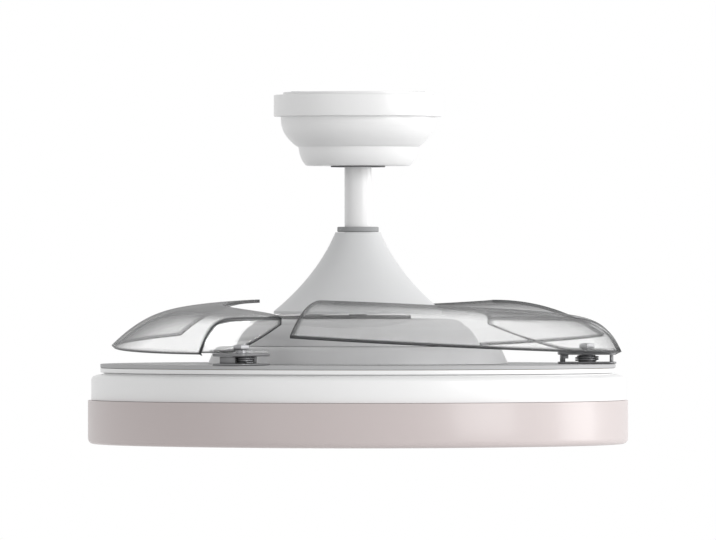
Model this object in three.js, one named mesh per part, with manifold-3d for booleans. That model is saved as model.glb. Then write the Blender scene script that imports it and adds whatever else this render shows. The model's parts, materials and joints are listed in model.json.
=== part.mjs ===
// Retractable blade ceiling fan with a round lamp: three clear blades fold over a turntable.
// They swing out together. Millimetres, +Z up. The origin is on the ceiling face, on the fan's own axis.
import * as THREE from "three";
import { mergeVertices } from "three/addons/utils/BufferGeometryUtils.js";
import Module from "manifold-3d";

const wasm = await Module();
wasm.setup();

// ---- Driving dimensions ----
const GAP = 0.3; // between pieces that rest on or in each other
const RUN = 0.4; // running clearance round a turning shaft
const FINE = 36; // sides of the large rings
const MEDIUM = 24; // sides of the canopy, cone and motor
const SMALL = 10; // sides of pins and small bosses
const ROUND = 16; // sides of the rod, shaft and bearings
const DEGREE = Math.PI / 180;
const TURN = 2 * Math.PI;
const MERGE_DISTANCE = 1e-3;
const PAST = 1; // how far a cutting tool runs past what it cuts
const SUNK = 0.5; // how far joined forms run into each other
const CORNER_STEPS = 3;
const FILLET_STEPS = 2;
const HEXAGON = 6;

// Ceiling mounting
const BRACKET_LENGTH = 124;
const BRACKET_WIDTH = 46;
const BRACKET_THICK = 2.5;
const BRACKET_CORNER = 8;
const SLOT_LENGTH = 14;
const SLOT_WIDTH = 6;
const SLOT_OFFSET = 36;
const EAR_DROP = 20;
const EAR_WIDTH = 24;
const ARM_SPAN = 92;
const ARM_WIDTH = 30;
const MOUTH_WIDTH = 27;
const MOUTH_HEIGHT = 20;
const BALL_RADIUS = 22;
const BALL_DROP = 40;
const SEAT_GAP = 0.7; // round the ball, which turns in its seat
const SEAT_WALL = 4;
const BALL_SIDES = 20;
const BALL_RINGS = 10;
const BALL_HALF_HEIGHT = 17.6; // its top and foot are cut flat
const SEAT_TOP_BELOW_BALL = 4;
const SEAT_FOOT_BELOW_BALL = 12;
const RECEIVER_LENGTH = 80;
const RECEIVER_WIDTH = 40;
const RECEIVER_HEIGHT = 12;
const RECEIVER_CORNER = 3;
const TERMINAL_LENGTH = 28;
const TERMINAL_DEPTH = 9;
const TERMINAL_HEIGHT = 11;
const TERMINAL_WAYS = 3;
const TERMINAL_INSET = 2;
const WAY_WIDTH = 5.1;
const WAY_HEIGHT = 4.4;
const WAY_DEPTH = 2.5;
const WAY_LIFT = 3.3;

// Canopy
const CANOPY_TOP_GAP = 0.5;
const CANOPY_HEIGHT = 68;
const CANOPY_LIP_RADIUS = 69.4;
const CANOPY_RADIUS = 71.5;
const CANOPY_WALL = 1.6;
const CANOPY_HOLE_RADIUS = 23;
const CANOPY_LIP_DROP = 4;
const CANOPY_LIP_SLOPE = 2;
const CANOPY_BAND_DROP = 26;
const CANOPY_BEND_DROP = 38;
const CANOPY_BEND_RADIUS = 70.9;
const SHOULDER_RADIUS = 60.5;
const SHOULDER_DROP = 47;
const STEP_RADIUS = 55;
const STEP_DROP = 51;
const STEP_HEIGHT = 5;
const STEP_SLOPE = 1;
const FOOT_RADIUS = 49.5;
const FOOT_CHAMFER = 3;
const RING_RADIUS = 78;
const RING_TOP_DROP = 2.5;
const RING_HEIGHT = 20;
const RING_WALL = 1.5;
const RING_CORNER = 1.2;
const SCREW_DROP = 13;
const SCREW_RADIUS = 2.4;
const SCREW_HEAD_RADIUS = 4.2;
const SCREW_HEAD = 3;
const SCREW_REACH = 4; // past the bracket's ear

// Downrod, collar, coupling and cone
const ROD_RADIUS = 12.5;
const ROD_WALL = 2;
const ROD_SHOWING = 56.5;
const ROD_ABOVE_BALL = 16.5; // from the ball's middle
const BALL_PIN_RADIUS = 3;
const BALL_PIN_RISE = 6.6;
const BALL_PIN_INSET = 1;
const COLLAR_RADIUS = 19.2;
const COLLAR_HEIGHT = 4.8;
const COLLAR_CORNER = 0.8;
const CONE_TOP_RADIUS = 21;
const CONE_FOOT_RADIUS = 78;
const CONE_HEIGHT = 73;
const CONE_WALL = 2;
const CONE_SLOPE_TOP = 0.42;
const CONE_BEND_SHARE = 0.55;
const CONE_STEPS = 5;
const COUPLING_RADIUS = 18;
const COUPLING_HEIGHT = 60;
const COUPLING_FLANGE_RADIUS = 27;
const COUPLING_FLANGE = 5;
const ROD_IN_COUPLING = 30;
const PIN_RADIUS = 3;
const PIN_DROP = 16;
const PIN_TAIL = 1.8; // past the clip's eye
const PIN_HEAD = 1.2;
const PIN_HEAD_RIM = 1.4;
const CLIP_WIRE = 1.2;
const CLIP_OFFSET = 2.2;
const CLIP_LEG = 3;
const CLIP_LOOP_RADIUS = 1.6;
const CLIP_SIDES = 6;
const CLIP_STEPS = 8;

// Motor
const SHAFT_RADIUS = 8.5;
const SHAFT_WALL = 2;
const MOTOR_RADIUS = 88;
const MOTOR_HEIGHT = 34;
const MOTOR_WALL = 2.5;
const MOTOR_CHAMFER = 4;
const MOTOR_BELOW_COVER = 5;
const SHELL_HOLE_GAP = 3;
const SHAFT_TAIL = 1;
const BEARING_RADIUS = 17.5;
const BEARING_HEIGHT = 8;
const MAGNET_THICK = 4;
const MAGNET_HEIGHT = 18;
const AIR_GAP = 0.8;
const STATOR_POLES = 9;
const STATOR_HUB_WALL = 10;
const SHOE_DEPTH = 4;
const SHOE_SHARE = 0.84; // of the angle between two poles
const SHOE_STEPS = 1;
const TOOTH_WIDTH = 7;
const COIL_WIDTH = 13;
const COIL_SHARE = 0.7; // of the tooth's length
const COIL_OVERHANG = 2;
const BEARING_SHOULDER = 1;
const BEARING_BOSS_WALL = 4;

// Turning covers and turntable
const CONE_TO_COVER = 4.3;
const COVER_HEIGHT = 27.8;
const COVER_RADIUS = 113;
const COVER_HOLE_RADIUS = 14.5;
const COVER_ROOF_RADIUS = 82;
const COVER_BEND_RADIUS = 94;
const COVER_SHOULDER_RADIUS = 98;
const COVER_SHOULDER_DROP = 7.5;
const COVER_FLARE = 5;
const COVER_WALL = 1.8;
const HUB_RING_HEIGHT = 16.1;
const HUB_RING_RADIUS = 139;
const HUB_RING_SHOULDER_RADIUS = 134;
const HUB_RING_SHOULDER_ROUND = 8;
const HUB_RING_SHOULDER_DROP = 5;
const HUB_RING_SEAT = 6; // how far it reaches in under the cover
const RIM_CHAMFER = 1;
const DECK_RADIUS = 238.5;
const DECK_THICK = 1.4;
const DECK_HEIGHT = 3.4;
const DECK_INNER_RADIUS = 104;
const TRAY_HEIGHT = 4.1;
const TRAY_THICK = 1.2;
const TRAY_STEP = 6; // from the motor's side to the tray's first step
const TRAY_SLOPE = 4;
const TRAY_HUB_RADIUS = 112;
const TRAY_HUB_HOLE_RADIUS = 30;

// Blade pivots and the gears that keep the blades in step
const BLADES = 3;
const PIVOT_INSET = 26.5; // from the turntable's rim to a blade's shaft
const PIVOT_PLATE_LENGTH = 54;
const PIVOT_PLATE_WIDTH = 35;
const PIVOT_PLATE_THICK = 2.5;
const PIVOT_PLATE_CORNER = 8;
const PIVOT_PLATE_RISE = 8.5; // its underside over the turntable
const PIVOT_SHAFT_RADIUS = 5;
const PIVOT_NUT_RADIUS = 8;
const PIVOT_NUT_HEIGHT = 4;
const PIVOT_BOSS_RADIUS = 8;
const PIVOT_BASE_THICK = 1.7;
const POST_RADIUS = 2.5;
const POST_ARM = 22.5;
const OPEN_ANGLE = 135;
const STOP_MARGIN = 1;
const STOP_EAR_ANGLE = 13;
const STOP_EAR_INSET = 4;
const STOP_EAR_OUTSET = 2.5;
const STOP_WALL_ANGLE = 40;
const STOP_WALL = 2;
const STOP_DROP = 3.5;
const GEAR_MODULE = 2.5;
const PINION_TEETH = 16;
const PINION_SECTOR_TEETH = 9;
const PINION_LEAD = 1; // teeth past the centre line at rest
const GEAR_THICK = 3.4;
const GEAR_RISE = 0.4;
const GEAR_BACKLASH = 0.5;
const GEAR_ADDENDUM = 0.85;
const GEAR_DEDENDUM = 1.25;
const GEAR_FLANK = -0.3;
const PRESSURE_ANGLE = 20;
const RACK_SECTOR_TEETH = 9;
const RACK_LEAD = 1.5;
const PINION_PLAIN_STEPS = 6;
const RACK_PLAIN_STEPS = 9;
const RACK_WIDTH = 9;
const GUIDE_WIDTH = 1.4;
const SPRING_RADIUS = 10.4;
const SPRING_WIRE_RADIUS = 0.7;
const SPRING_PITCH = 1.95;
const SPRING_TURNS = 2;
const SPRING_LEG = 9;
const SPRING_SIDES = 5;
const SPRING_CURL_STEPS = 8;

// Blades
const BLADE_THICK = 3;
const BLADE_START = 5.5;
const BLADE_END = 105;
const EDGE_ARC_GROWTH = 32.35; // the outer edge's arc is this much wider than the turntable
const EDGE_ARC_OFFSET = 42.87; // from the fan's axis to that arc's centre
const EDGE_ARC_AZIMUTH = 118.2; // the side of the pivot on which that centre lies
const ROOT_INNER_REACH = 92; // from the shaft's circle in to the blade's inner edge
const TIP_INNER_REACH = 82;
const BLADE_RISE = 31.8;
const TIP_LIFT = 16.2;
const ROOT_ROUND = 9; // how steeply a section rises from its outer edge
const TIP_ROUND = 2.15;
const ROUND_POWER = 3;
const LIFT_POWER = 1.6;
const SPAN_STEPS = 15;
const CHORD_STEPS = 6;
const EDGE_CROWDING = 1.5;
const FOOT_THICK = 3;
const FOOT_REACH = 25;
const FOOT_CORNER = 7;
const WALL_SWEEP = 22; // how the root wall's lower edge curves in and down to the foot
const WALL_DROP = 18;
const WALL_LANDING = 12;
const WALL_STEPS = 6;
const WALL_LEAST_HEIGHT = 1;
const WALL_OVERLAP = 0.35; // degrees that the root wall runs under the sheet

// Lamp
const LAMP_RUN_GAP = 1.9;
const LAMP_RADIUS = 247;
const LAMP_HEIGHT = 23.5;
const LAMP_WALL = 1.5;
const LAMP_CHAMFER = 4;
const LAMP_TOP_INSET = 7;
const DIFFUSER_RADIUS = 250;
const DIFFUSER_HEIGHT = 43.4;
const DIFFUSER_WALL = 2.5;
const DIFFUSER_FILLET = 6;
const DIFFUSER_DOME = 3;
const NECK_RADIUS = 238;
const NECK_HEIGHT = 8;
const LUGS = 3;
const LUG_ANGLE = 14;
const LUG_THICK = 3;
const LUG_REACH = 4;
const TAB_THICK = 1.6;
const TAB_LIFT = 0.6;
const BOARD_RADIUS = 200;
const BOARD_HOLE_RADIUS = 112;
const BOARD_THICK = 1.6;
const BOARD_STANDOFF = 5;
const BOARD_STANDOFFS = 6;
const STANDOFF_RADIUS = 4;
const DRIVER_LENGTH = 96;
const DRIVER_WIDTH = 34;
const DRIVER_HEIGHT = 22;
const DRIVER_OFFSET = 62;
const DRIVER_CORNER = 4;
const HUB_FLANGE_RADIUS = 30;
const HUB_FLANGE = 3;
const HUB_HEIGHT = 18;
const HUB_WALL = 5;
const SHAFT_NUT_RADIUS = 15;
const SHAFT_NUT_HEIGHT = 6;

// ---- Heights, from the ceiling down ----
const pivotRadius = DECK_RADIUS - PIVOT_INSET;
const zBracketFoot = -BRACKET_THICK;
const zBall = -BALL_DROP;
const zCanopyTop = -CANOPY_TOP_GAP;
const zCanopyFoot = zCanopyTop - CANOPY_HEIGHT;
const zCollarTop = zCanopyFoot - ROD_SHOWING;
const zConeTop = zCollarTop - COLLAR_HEIGHT - GAP;
const zConeFoot = zConeTop - CONE_HEIGHT;
const zCouplingTop = zConeTop - CONE_WALL - GAP;
const zCouplingFoot = zCouplingTop - COUPLING_HEIGHT;
const zRodFoot = zCouplingTop - ROD_IN_COUPLING;
const zCoverTop = zConeFoot - CONE_TO_COVER;
const zCoverFoot = zCoverTop - COVER_HEIGHT;
const zMotorTop = zCoverTop - MOTOR_BELOW_COVER;
const zMotorFoot = zMotorTop - MOTOR_HEIGHT;
const zMotorMiddle = (zMotorTop + zMotorFoot) / 2;
const zHubRingTop = zCoverFoot - GAP;
const zHubRingFoot = zHubRingTop - HUB_RING_HEIGHT;
const zDeck = zHubRingFoot - GAP;
const zDeckFoot = zDeck - DECK_HEIGHT;
const zTrayTop = zDeckFoot - GAP;
const zTrayFoot = zTrayTop - TRAY_HEIGHT;
const zTrayFloor = zTrayFoot + TRAY_THICK;
const zPivotBase = zDeck + GAP;
const zPivotPlateFoot = zDeck + PIVOT_PLATE_RISE;
const zPivotPlateTop = zPivotPlateFoot + PIVOT_PLATE_THICK;
const zFoot = zPivotPlateTop + GAP;
const zFootTop = zFoot + FOOT_THICK;
const zPinion = zTrayFloor + GAP + GEAR_RISE;
const zLampTop = zTrayFoot - LAMP_RUN_GAP;
const zLampFoot = zLampTop - LAMP_HEIGHT;
const zDiffuserTop = zLampFoot - GAP;
const zDiffuserFoot = zDiffuserTop - DIFFUSER_HEIGHT;

// ---- Solids and their joins and cuts ----
const plainOf = (geometry) => {
  const plain = geometry.clone();
  plain.deleteAttribute("normal");
  plain.deleteAttribute("uv");
  return mergeVertices(plain, MERGE_DISTANCE);
};

const solidOf = (geometry) => {
  const plain = plainOf(geometry);
  const vertProperties = plain.attributes.position.array;
  const triVerts = new Uint32Array(plain.index.array);
  return new wasm.Manifold(new wasm.Mesh({ numProp: 3, vertProperties, triVerts }));
};

const geometryOf = (solid) => {
  const mesh = solid.getMesh();
  const geometry = new THREE.BufferGeometry();
  geometry.setAttribute("position", new THREE.BufferAttribute(new Float32Array(mesh.vertProperties), 3));
  geometry.setIndex(new THREE.BufferAttribute(new Uint32Array(mesh.triVerts), 1));
  const flat = geometry.toNonIndexed();
  flat.computeVertexNormals();
  return flat;
};

const cut = (body, ...tools) => tools.reduce((left, tool) => left.subtract(tool), body);
const join = (body, ...more) => more.reduce((left, piece) => left.add(piece), body);

// Signed area of a closed outline: positive when it runs counter-clockwise.
const areaOf = (points) =>
  points.reduce((sum, p, i) => {
    const q = points[(i + 1) % points.length];
    return sum + (p.x * q.y - q.x * p.y) / 2;
  }, 0);

// A closed radius-height outline turned about Z.
const turned = (points, sides) => {
  const outline = areaOf(points) > 0 ? points : [...points].reverse();
  const closed = [...outline, outline[0].clone()];
  return solidOf(new THREE.LatheGeometry(closed, sides).rotateX(Math.PI / 2));
};

const at = (radius, height) => new THREE.Vector2(radius, height);
const ring = (inner, outer, low, high, sides) =>
  turned([at(inner, low), at(outer, low), at(outer, high), at(inner, high)], sides);

const rod = (radius, low, high, sides = SMALL) => {
  const geometry = new THREE.CylinderGeometry(radius, radius, high - low, sides).rotateX(Math.PI / 2);
  return solidOf(geometry.translate(0, 0, (low + high) / 2));
};

const box = (x, y, z, width, depth, height) =>
  solidOf(new THREE.BoxGeometry(width, depth, height).translate(x, y, z + height / 2));

const raised = (shape, low, high, curveSegments = SMALL) => {
  const settings = { depth: high - low, bevelEnabled: false, curveSegments };
  return solidOf(new THREE.ExtrudeGeometry(shape, settings).translate(0, 0, low));
};

// A slice of a ring, between two angles in degrees.
const sector = (inner, outer, from, to, low, high, steps = CORNER_STEPS) => {
  const shape = new THREE.Shape();
  shape.absarc(0, 0, outer, from * DEGREE, to * DEGREE, false);
  shape.absarc(0, 0, inner, to * DEGREE, from * DEGREE, true);
  shape.closePath();
  return raised(shape, low, high, steps);
};

const roundedPlate = (length, width, corner, low, high, x = 0) => {
  const shape = new THREE.Shape();
  const halfLength = length / 2;
  const halfWidth = width / 2;
  const corners = [[1, -1], [1, 1], [-1, 1], [-1, -1]];
  corners.forEach(([sideX, sideY], i) => {
    const start = (i - 1) * (Math.PI / 2);
    const cx = x + sideX * (halfLength - corner);
    const cy = sideY * (halfWidth - corner);
    shape.absarc(cx, cy, corner, start, start + Math.PI / 2, false);
  });
  shape.closePath();
  return raised(shape, low, high, CORNER_STEPS);
};

// The closed outline of a wall of even thickness inside a line of radius-height points.
const walled = (points, wall) => {
  const inner = points.map((point, i) => {
    const before = points[Math.max(i - 1, 0)];
    const after = points[Math.min(i + 1, points.length - 1)];
    const along = [point.clone().sub(before), after.clone().sub(point)].filter((v) => v.length() > 0);
    const normals = along.map((v) => at(v.y, -v.x).normalize());
    const middle = normals.reduce((sum, v) => sum.add(v), at(0, 0)).normalize();
    const steep = Math.abs(middle.x) > Math.abs(middle.y);
    const atEnd = along.length === 1;
    if (atEnd && steep) return at(point.x + wall / middle.x, point.y);
    if (atEnd) return at(point.x, point.y + wall / middle.y);
    const reach = wall / middle.dot(normals[0]);
    return point.clone().add(middle.multiplyScalar(reach));
  });
  return [...points, ...inner.reverse()];
};

const lineOf = (steps, build) => {
  const path = new THREE.Path();
  build(path);
  return path.getPoints(steps);
};

// ---- Scene graph ----
const fan = new THREE.Group();
fan.name = "retractable_blade_ceiling_fan";

const finish = (color, roughness, metalness, opacity = 1) =>
  new THREE.MeshStandardMaterial({ color, roughness, metalness, opacity, transparent: opacity < 1 });

const place = (name, solid, material, parent = fan) => {
  const mesh = new THREE.Mesh(geometryOf(solid), material);
  mesh.name = name;
  parent.add(mesh);
  return mesh;
};

const whiteCoat = () => finish(0xf1f0ee, 0.4, 0.05);
const greyCoat = () => finish(0x9a999b, 0.45, 0.35);
const steel = () => finish(0xb9babb, 0.35, 0.9);
const darkSteel = () => finish(0x3b3d40, 0.45, 0.7);
const whitePlastic = () => finish(0xe9e8e5, 0.55, 0);

// ---- Ceiling mounting: bracket, receiver and canopy ----
const armX = ARM_SPAN / 2;
const seatRadius = BALL_RADIUS + SEAT_GAP;
const seatOuterRadius = seatRadius + SEAT_WALL;
const zSeatTop = zBall - SEAT_TOP_BELOW_BALL;
const zSeatFoot = zBall - SEAT_FOOT_BELOW_BALL;
const earX = BRACKET_LENGTH / 2 - BRACKET_THICK / 2;
const zScrew = zCanopyTop - SCREW_DROP;

const sideRod = (radius, x0, x1, z) => {
  const geometry = new THREE.CylinderGeometry(radius, radius, Math.abs(x1 - x0), SMALL).rotateZ(Math.PI / 2);
  return solidOf(geometry.translate((x0 + x1) / 2, 0, z));
};

const ballOf = (radius) => {
  const sphere = new THREE.SphereGeometry(radius, BALL_SIDES, BALL_RINGS).rotateX(Math.PI / 2);
  return solidOf(sphere.translate(0, 0, zBall));
};

// Stamped strap: a plate on the ceiling, two arms to the ball's seat, and an ear at each end for a screw.
const hangerBracket = () => {
  const plate = roundedPlate(BRACKET_LENGTH, BRACKET_WIDTH, BRACKET_CORNER, zBracketFoot, 0);
  const armHeight = zBracketFoot - zSeatFoot + SUNK;
  const arm = (side) => box(side * armX, 0, zSeatFoot, BRACKET_THICK, ARM_WIDTH, armHeight);
  const earHeight = EAR_DROP - BRACKET_THICK + SUNK;
  const ear = (side) => box(side * earX, 0, -EAR_DROP, BRACKET_THICK, EAR_WIDTH, earHeight);
  const shelf = box(0, 0, zSeatFoot, ARM_SPAN + BRACKET_THICK, ARM_WIDTH, BRACKET_THICK);
  const seat = rod(seatOuterRadius, zSeatFoot, zSeatTop, ROUND);
  const well = rod(Math.sqrt(seatRadius ** 2 - SEAT_FOOT_BELOW_BALL ** 2), zSeatFoot - PAST, zBall);
  const mouth = box(0, ARM_WIDTH / 2, zSeatFoot - PAST, MOUTH_WIDTH, ARM_WIDTH, MOUTH_HEIGHT);
  const whole = join(plate, arm(1), arm(-1), ear(1), ear(-1), shelf, seat);
  const hole = (side) =>
    sideRod(SCREW_RADIUS + GAP, side * (earX - BRACKET_THICK), side * (earX + BRACKET_THICK), zScrew);
  const slotCorner = SLOT_WIDTH / 2 - GAP;
  const slot = (side) =>
    roundedPlate(SLOT_LENGTH, SLOT_WIDTH, slotCorner, zBracketFoot - PAST, PAST, side * SLOT_OFFSET);
  return cut(whole, ballOf(seatRadius), well, mouth, hole(1), hole(-1), slot(1), slot(-1));
};

// Spun cup with a rolled shoulder and two small steps above its flat foot.
const canopyLine = () => [
  ...lineOf(CORNER_STEPS, (path) => {
    const shoulderZ = zCanopyTop - SHOULDER_DROP;
    const stepZ = zCanopyTop - STEP_DROP;
    path.moveTo(CANOPY_LIP_RADIUS, zCanopyTop);
    path.lineTo(CANOPY_LIP_RADIUS, zCanopyTop - CANOPY_LIP_DROP);
    path.lineTo(CANOPY_RADIUS, zCanopyTop - CANOPY_LIP_DROP - CANOPY_LIP_SLOPE);
    path.lineTo(CANOPY_RADIUS, zCanopyTop - CANOPY_BAND_DROP);
    path.quadraticCurveTo(CANOPY_BEND_RADIUS, zCanopyTop - CANOPY_BEND_DROP, SHOULDER_RADIUS, shoulderZ);
    path.lineTo(STEP_RADIUS, stepZ);
    path.lineTo(STEP_RADIUS - STEP_SLOPE, stepZ - STEP_HEIGHT);
    path.lineTo(FOOT_RADIUS, zCanopyFoot + FOOT_CHAMFER);
    path.lineTo(FOOT_RADIUS - FOOT_CHAMFER, zCanopyFoot);
  }),
  at(CANOPY_HOLE_RADIUS, zCanopyFoot),
];

const canopy = () => {
  const hole = (side) =>
    sideRod(SCREW_RADIUS + GAP, side * (earX + BRACKET_THICK), side * (CANOPY_RADIUS + SCREW_HEAD), zScrew);
  return cut(turned(walled(canopyLine(), CANOPY_WALL), MEDIUM), hole(1), hole(-1));
};

// Trim ring round the canopy's rim: a channel, open inwards, that hides the screws.
const canopyRing = () => {
  const top = zCanopyTop - RING_TOP_DROP;
  const foot = top - RING_HEIGHT;
  const corner = RING_CORNER;
  const inside = CANOPY_RADIUS + GAP;
  return turned(
    [
      at(inside, foot), at(RING_RADIUS - corner, foot), at(RING_RADIUS, foot + corner),
      at(RING_RADIUS, top - corner), at(RING_RADIUS - corner, top), at(inside, top),
      at(inside, top - RING_WALL), at(RING_RADIUS - RING_WALL, top - RING_WALL),
      at(RING_RADIUS - RING_WALL, foot + RING_WALL), at(inside, foot + RING_WALL),
    ],
    MEDIUM,
  );
};

const canopyScrew = (side) => {
  const headFoot = CANOPY_RADIUS + GAP;
  const shank = sideRod(SCREW_RADIUS, side * (earX - SCREW_REACH), side * (headFoot + SUNK), zScrew);
  return join(shank, sideRod(SCREW_HEAD_RADIUS, side * headFoot, side * (headFoot + SCREW_HEAD), zScrew));
};

const zReceiverTop = zBracketFoot - GAP;
const zReceiverFoot = zReceiverTop - RECEIVER_HEIGHT;
const receiverBox = () =>
  roundedPlate(RECEIVER_LENGTH, RECEIVER_WIDTH, RECEIVER_CORNER, zReceiverFoot, zReceiverTop);

// Block of wire terminals on the bracket's arm, with one mouth for each wire.
const terminalBlock = () => {
  const face = -(armX - BRACKET_THICK / 2 - GAP - TERMINAL_DEPTH);
  const foot = zReceiverFoot - TERMINAL_INSET - TERMINAL_HEIGHT;
  const body = box(face - TERMINAL_DEPTH / 2, 0, foot, TERMINAL_DEPTH, TERMINAL_LENGTH, TERMINAL_HEIGHT);
  const pitch = TERMINAL_LENGTH / TERMINAL_WAYS;
  const ways = Array.from({ length: TERMINAL_WAYS }, (_, i) => {
    const y = (i - (TERMINAL_WAYS - 1) / 2) * pitch;
    return box(face, y, foot + WAY_LIFT, 2 * WAY_DEPTH, WAY_WIDTH, WAY_HEIGHT);
  });
  return cut(body, ...ways);
};

place("hanger_bracket", hangerBracket(), steel());
place("canopy", canopy(), whiteCoat());
place("canopy_trim_ring", canopyRing(), whiteCoat());
place("canopy_screw_right", canopyScrew(1), steel());
place("canopy_screw_left", canopyScrew(-1), steel());
place("receiver_box", receiverBox(), whitePlastic());
place("terminal_block", terminalBlock(), whitePlastic());

// ---- Hanging column: ball, downrod, coupling, collar and cone ----
const rodBore = ROD_RADIUS - ROD_WALL;
const rodTop = zBall + ROD_ABOVE_BALL;
const zBallPin = zBall + BALL_PIN_RISE;
const zCouplingPin = zCouplingTop - PIN_DROP;

const hangerBall = () => {
  const past = BALL_RADIUS + PAST;
  const core = rod(past, zBall - BALL_HALF_HEIGHT, zBall + BALL_HALF_HEIGHT, BALL_SIDES);
  const bore = rod(ROD_RADIUS + GAP, zBall - past, zBall + past, ROUND);
  const pinHole = sideRod(BALL_PIN_RADIUS + GAP, -past, past, zBallPin);
  return cut(ballOf(BALL_RADIUS).intersect(core), bore, pinHole);
};

const downrod = () => {
  const tube = ring(rodBore, ROD_RADIUS, zRodFoot + GAP, rodTop, ROUND);
  const past = ROD_RADIUS + PAST;
  const ballHole = sideRod(BALL_PIN_RADIUS + GAP, -past, past, zBallPin);
  const couplingHole = sideRod(PIN_RADIUS + GAP, -past, past, zCouplingPin);
  return cut(tube, ballHole, couplingHole);
};

const ballPinReach = Math.sqrt(BALL_RADIUS ** 2 - BALL_PIN_RISE ** 2) - BALL_PIN_INSET;

// Turned coupling: downrod socket above, motor shaft socket below, with a flange that backs the cone.
const coupling = () => {
  const body = rod(COUPLING_RADIUS, zCouplingFoot, zCouplingTop, ROUND);
  const flange = rod(COUPLING_FLANGE_RADIUS, zCouplingFoot, zCouplingFoot + COUPLING_FLANGE, ROUND);
  const rodSocket = rod(ROD_RADIUS + GAP, zRodFoot, zCouplingTop + PAST, ROUND);
  const shaftSocket = rod(SHAFT_RADIUS + GAP, zCouplingFoot - PAST, zRodFoot + PAST, ROUND);
  const pinHole = sideRod(PIN_RADIUS + GAP, -COUPLING_RADIUS - PAST, COUPLING_RADIUS + PAST, zCouplingPin);
  return cut(join(body, flange), rodSocket, shaftSocket, pinHole);
};

const clipX = COUPLING_RADIUS + CLIP_OFFSET;
const couplingPin = () => {
  const headEnd = -COUPLING_RADIUS - GAP;
  const shank = sideRod(PIN_RADIUS, headEnd - SUNK, clipX + PIN_TAIL, zCouplingPin);
  const head = sideRod(PIN_RADIUS + PIN_HEAD_RIM, headEnd - PIN_HEAD, headEnd, zCouplingPin);
  const past = PIN_RADIUS + PAST;
  const eye = rod(CLIP_WIRE / 2 + GAP, zCouplingPin - past, zCouplingPin + past);
  return cut(join(shank, head), eye.translate([clipX, 0, 0]));
};

// Pin through the coupling pin's eye, with a ring at its head.
const couplingClip = () => {
  const top = zCouplingPin + PIN_RADIUS + PAST;
  const leg = rod(CLIP_WIRE / 2, zCouplingPin - PIN_RADIUS - CLIP_LEG, top);
  const loop = new THREE.TorusGeometry(CLIP_LOOP_RADIUS, CLIP_WIRE / 2, CLIP_SIDES, CLIP_STEPS);
  const upright = loop.rotateY(Math.PI / 2).translate(clipX, 0, top + CLIP_WIRE);
  return join(leg.translate([clipX, 0, 0]), solidOf(upright));
};

const collar = () => {
  const corner = COLLAR_CORNER;
  const low = zCollarTop - COLLAR_HEIGHT;
  const inner = ROD_RADIUS + GAP;
  return turned(
    [
      at(inner, low), at(COLLAR_RADIUS, low), at(COLLAR_RADIUS, zCollarTop - corner),
      at(COLLAR_RADIUS - corner, zCollarTop), at(inner, zCollarTop),
    ],
    MEDIUM,
  );
};

// Flared shell whose flat roof sits on the coupling.
const coneLine = () => [
  at(ROD_RADIUS + GAP, zConeTop),
  ...lineOf(CONE_STEPS, (path) => {
    const bendDrop = CONE_HEIGHT * CONE_BEND_SHARE;
    const bendRadius = CONE_TOP_RADIUS + CONE_SLOPE_TOP * bendDrop;
    path.moveTo(CONE_TOP_RADIUS, zConeTop);
    path.quadraticCurveTo(bendRadius, zConeTop - bendDrop, CONE_FOOT_RADIUS, zConeFoot);
  }),
];

place("hanger_ball", hangerBall(), finish(0x2c2d2f, 0.5, 0.1));
place("ball_pin", sideRod(BALL_PIN_RADIUS, -ballPinReach, ballPinReach, zBallPin), steel());
place("downrod", downrod(), whiteCoat());
place("motor_coupling", coupling(), darkSteel());
place("coupling_pin", couplingPin(), steel());
place("coupling_clip", couplingClip(), steel());
place("rod_collar", collar(), finish(0x55575a, 0.6, 0.1));
place("cone_cover", turned(walled(coneLine(), CONE_WALL), MEDIUM), whiteCoat());

// ---- Motor: hollow fixed shaft and stator, turning shell on two bearings ----
const zShaftFoot = zLampTop - LAMP_WALL - GAP - HUB_HEIGHT - GAP - SHAFT_NUT_HEIGHT - SHAFT_TAIL;
const magnetOuter = MOTOR_RADIUS - MOTOR_WALL - GAP;
const magnetInner = magnetOuter - MAGNET_THICK;
const statorRadius = magnetInner - AIR_GAP;
const statorHub = BEARING_RADIUS + STATOR_HUB_WALL;
const bossHeight = BEARING_SHOULDER + GAP + BEARING_HEIGHT;
const statorHeight = MOTOR_HEIGHT - 2 * (bossHeight + GAP);
const bossRadius = BEARING_RADIUS + GAP + BEARING_BOSS_WALL;

// A hub with one tooth, coil and curved shoe for each pole.
const stator = () => {
  const low = zMotorMiddle - statorHeight / 2;
  const high = zMotorMiddle + statorHeight / 2;
  const hub = ring(SHAFT_RADIUS + GAP, statorHub, low, high, ROUND);
  const poleAngle = 360 / STATOR_POLES;
  const shoeHalf = (poleAngle * SHOE_SHARE) / 2;
  const shoeInner = statorRadius - SHOE_DEPTH;
  const toothLength = shoeInner - statorHub;
  const middle = statorHub + toothLength / 2;
  const coilHeight = statorHeight + 2 * COIL_OVERHANG;
  const pole = join(
    sector(shoeInner, statorRadius, -shoeHalf, shoeHalf, low, high, SHOE_STEPS),
    box(middle, 0, low, toothLength + 2 * PAST, TOOTH_WIDTH, statorHeight),
    box(middle + COIL_OVERHANG, 0, low - COIL_OVERHANG, toothLength * COIL_SHARE, COIL_WIDTH, coilHeight),
  );
  const poles = Array.from({ length: STATOR_POLES }, (_, i) => pole.rotate([0, 0, i * poleAngle]));
  return join(hub, ...poles);
};

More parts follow.
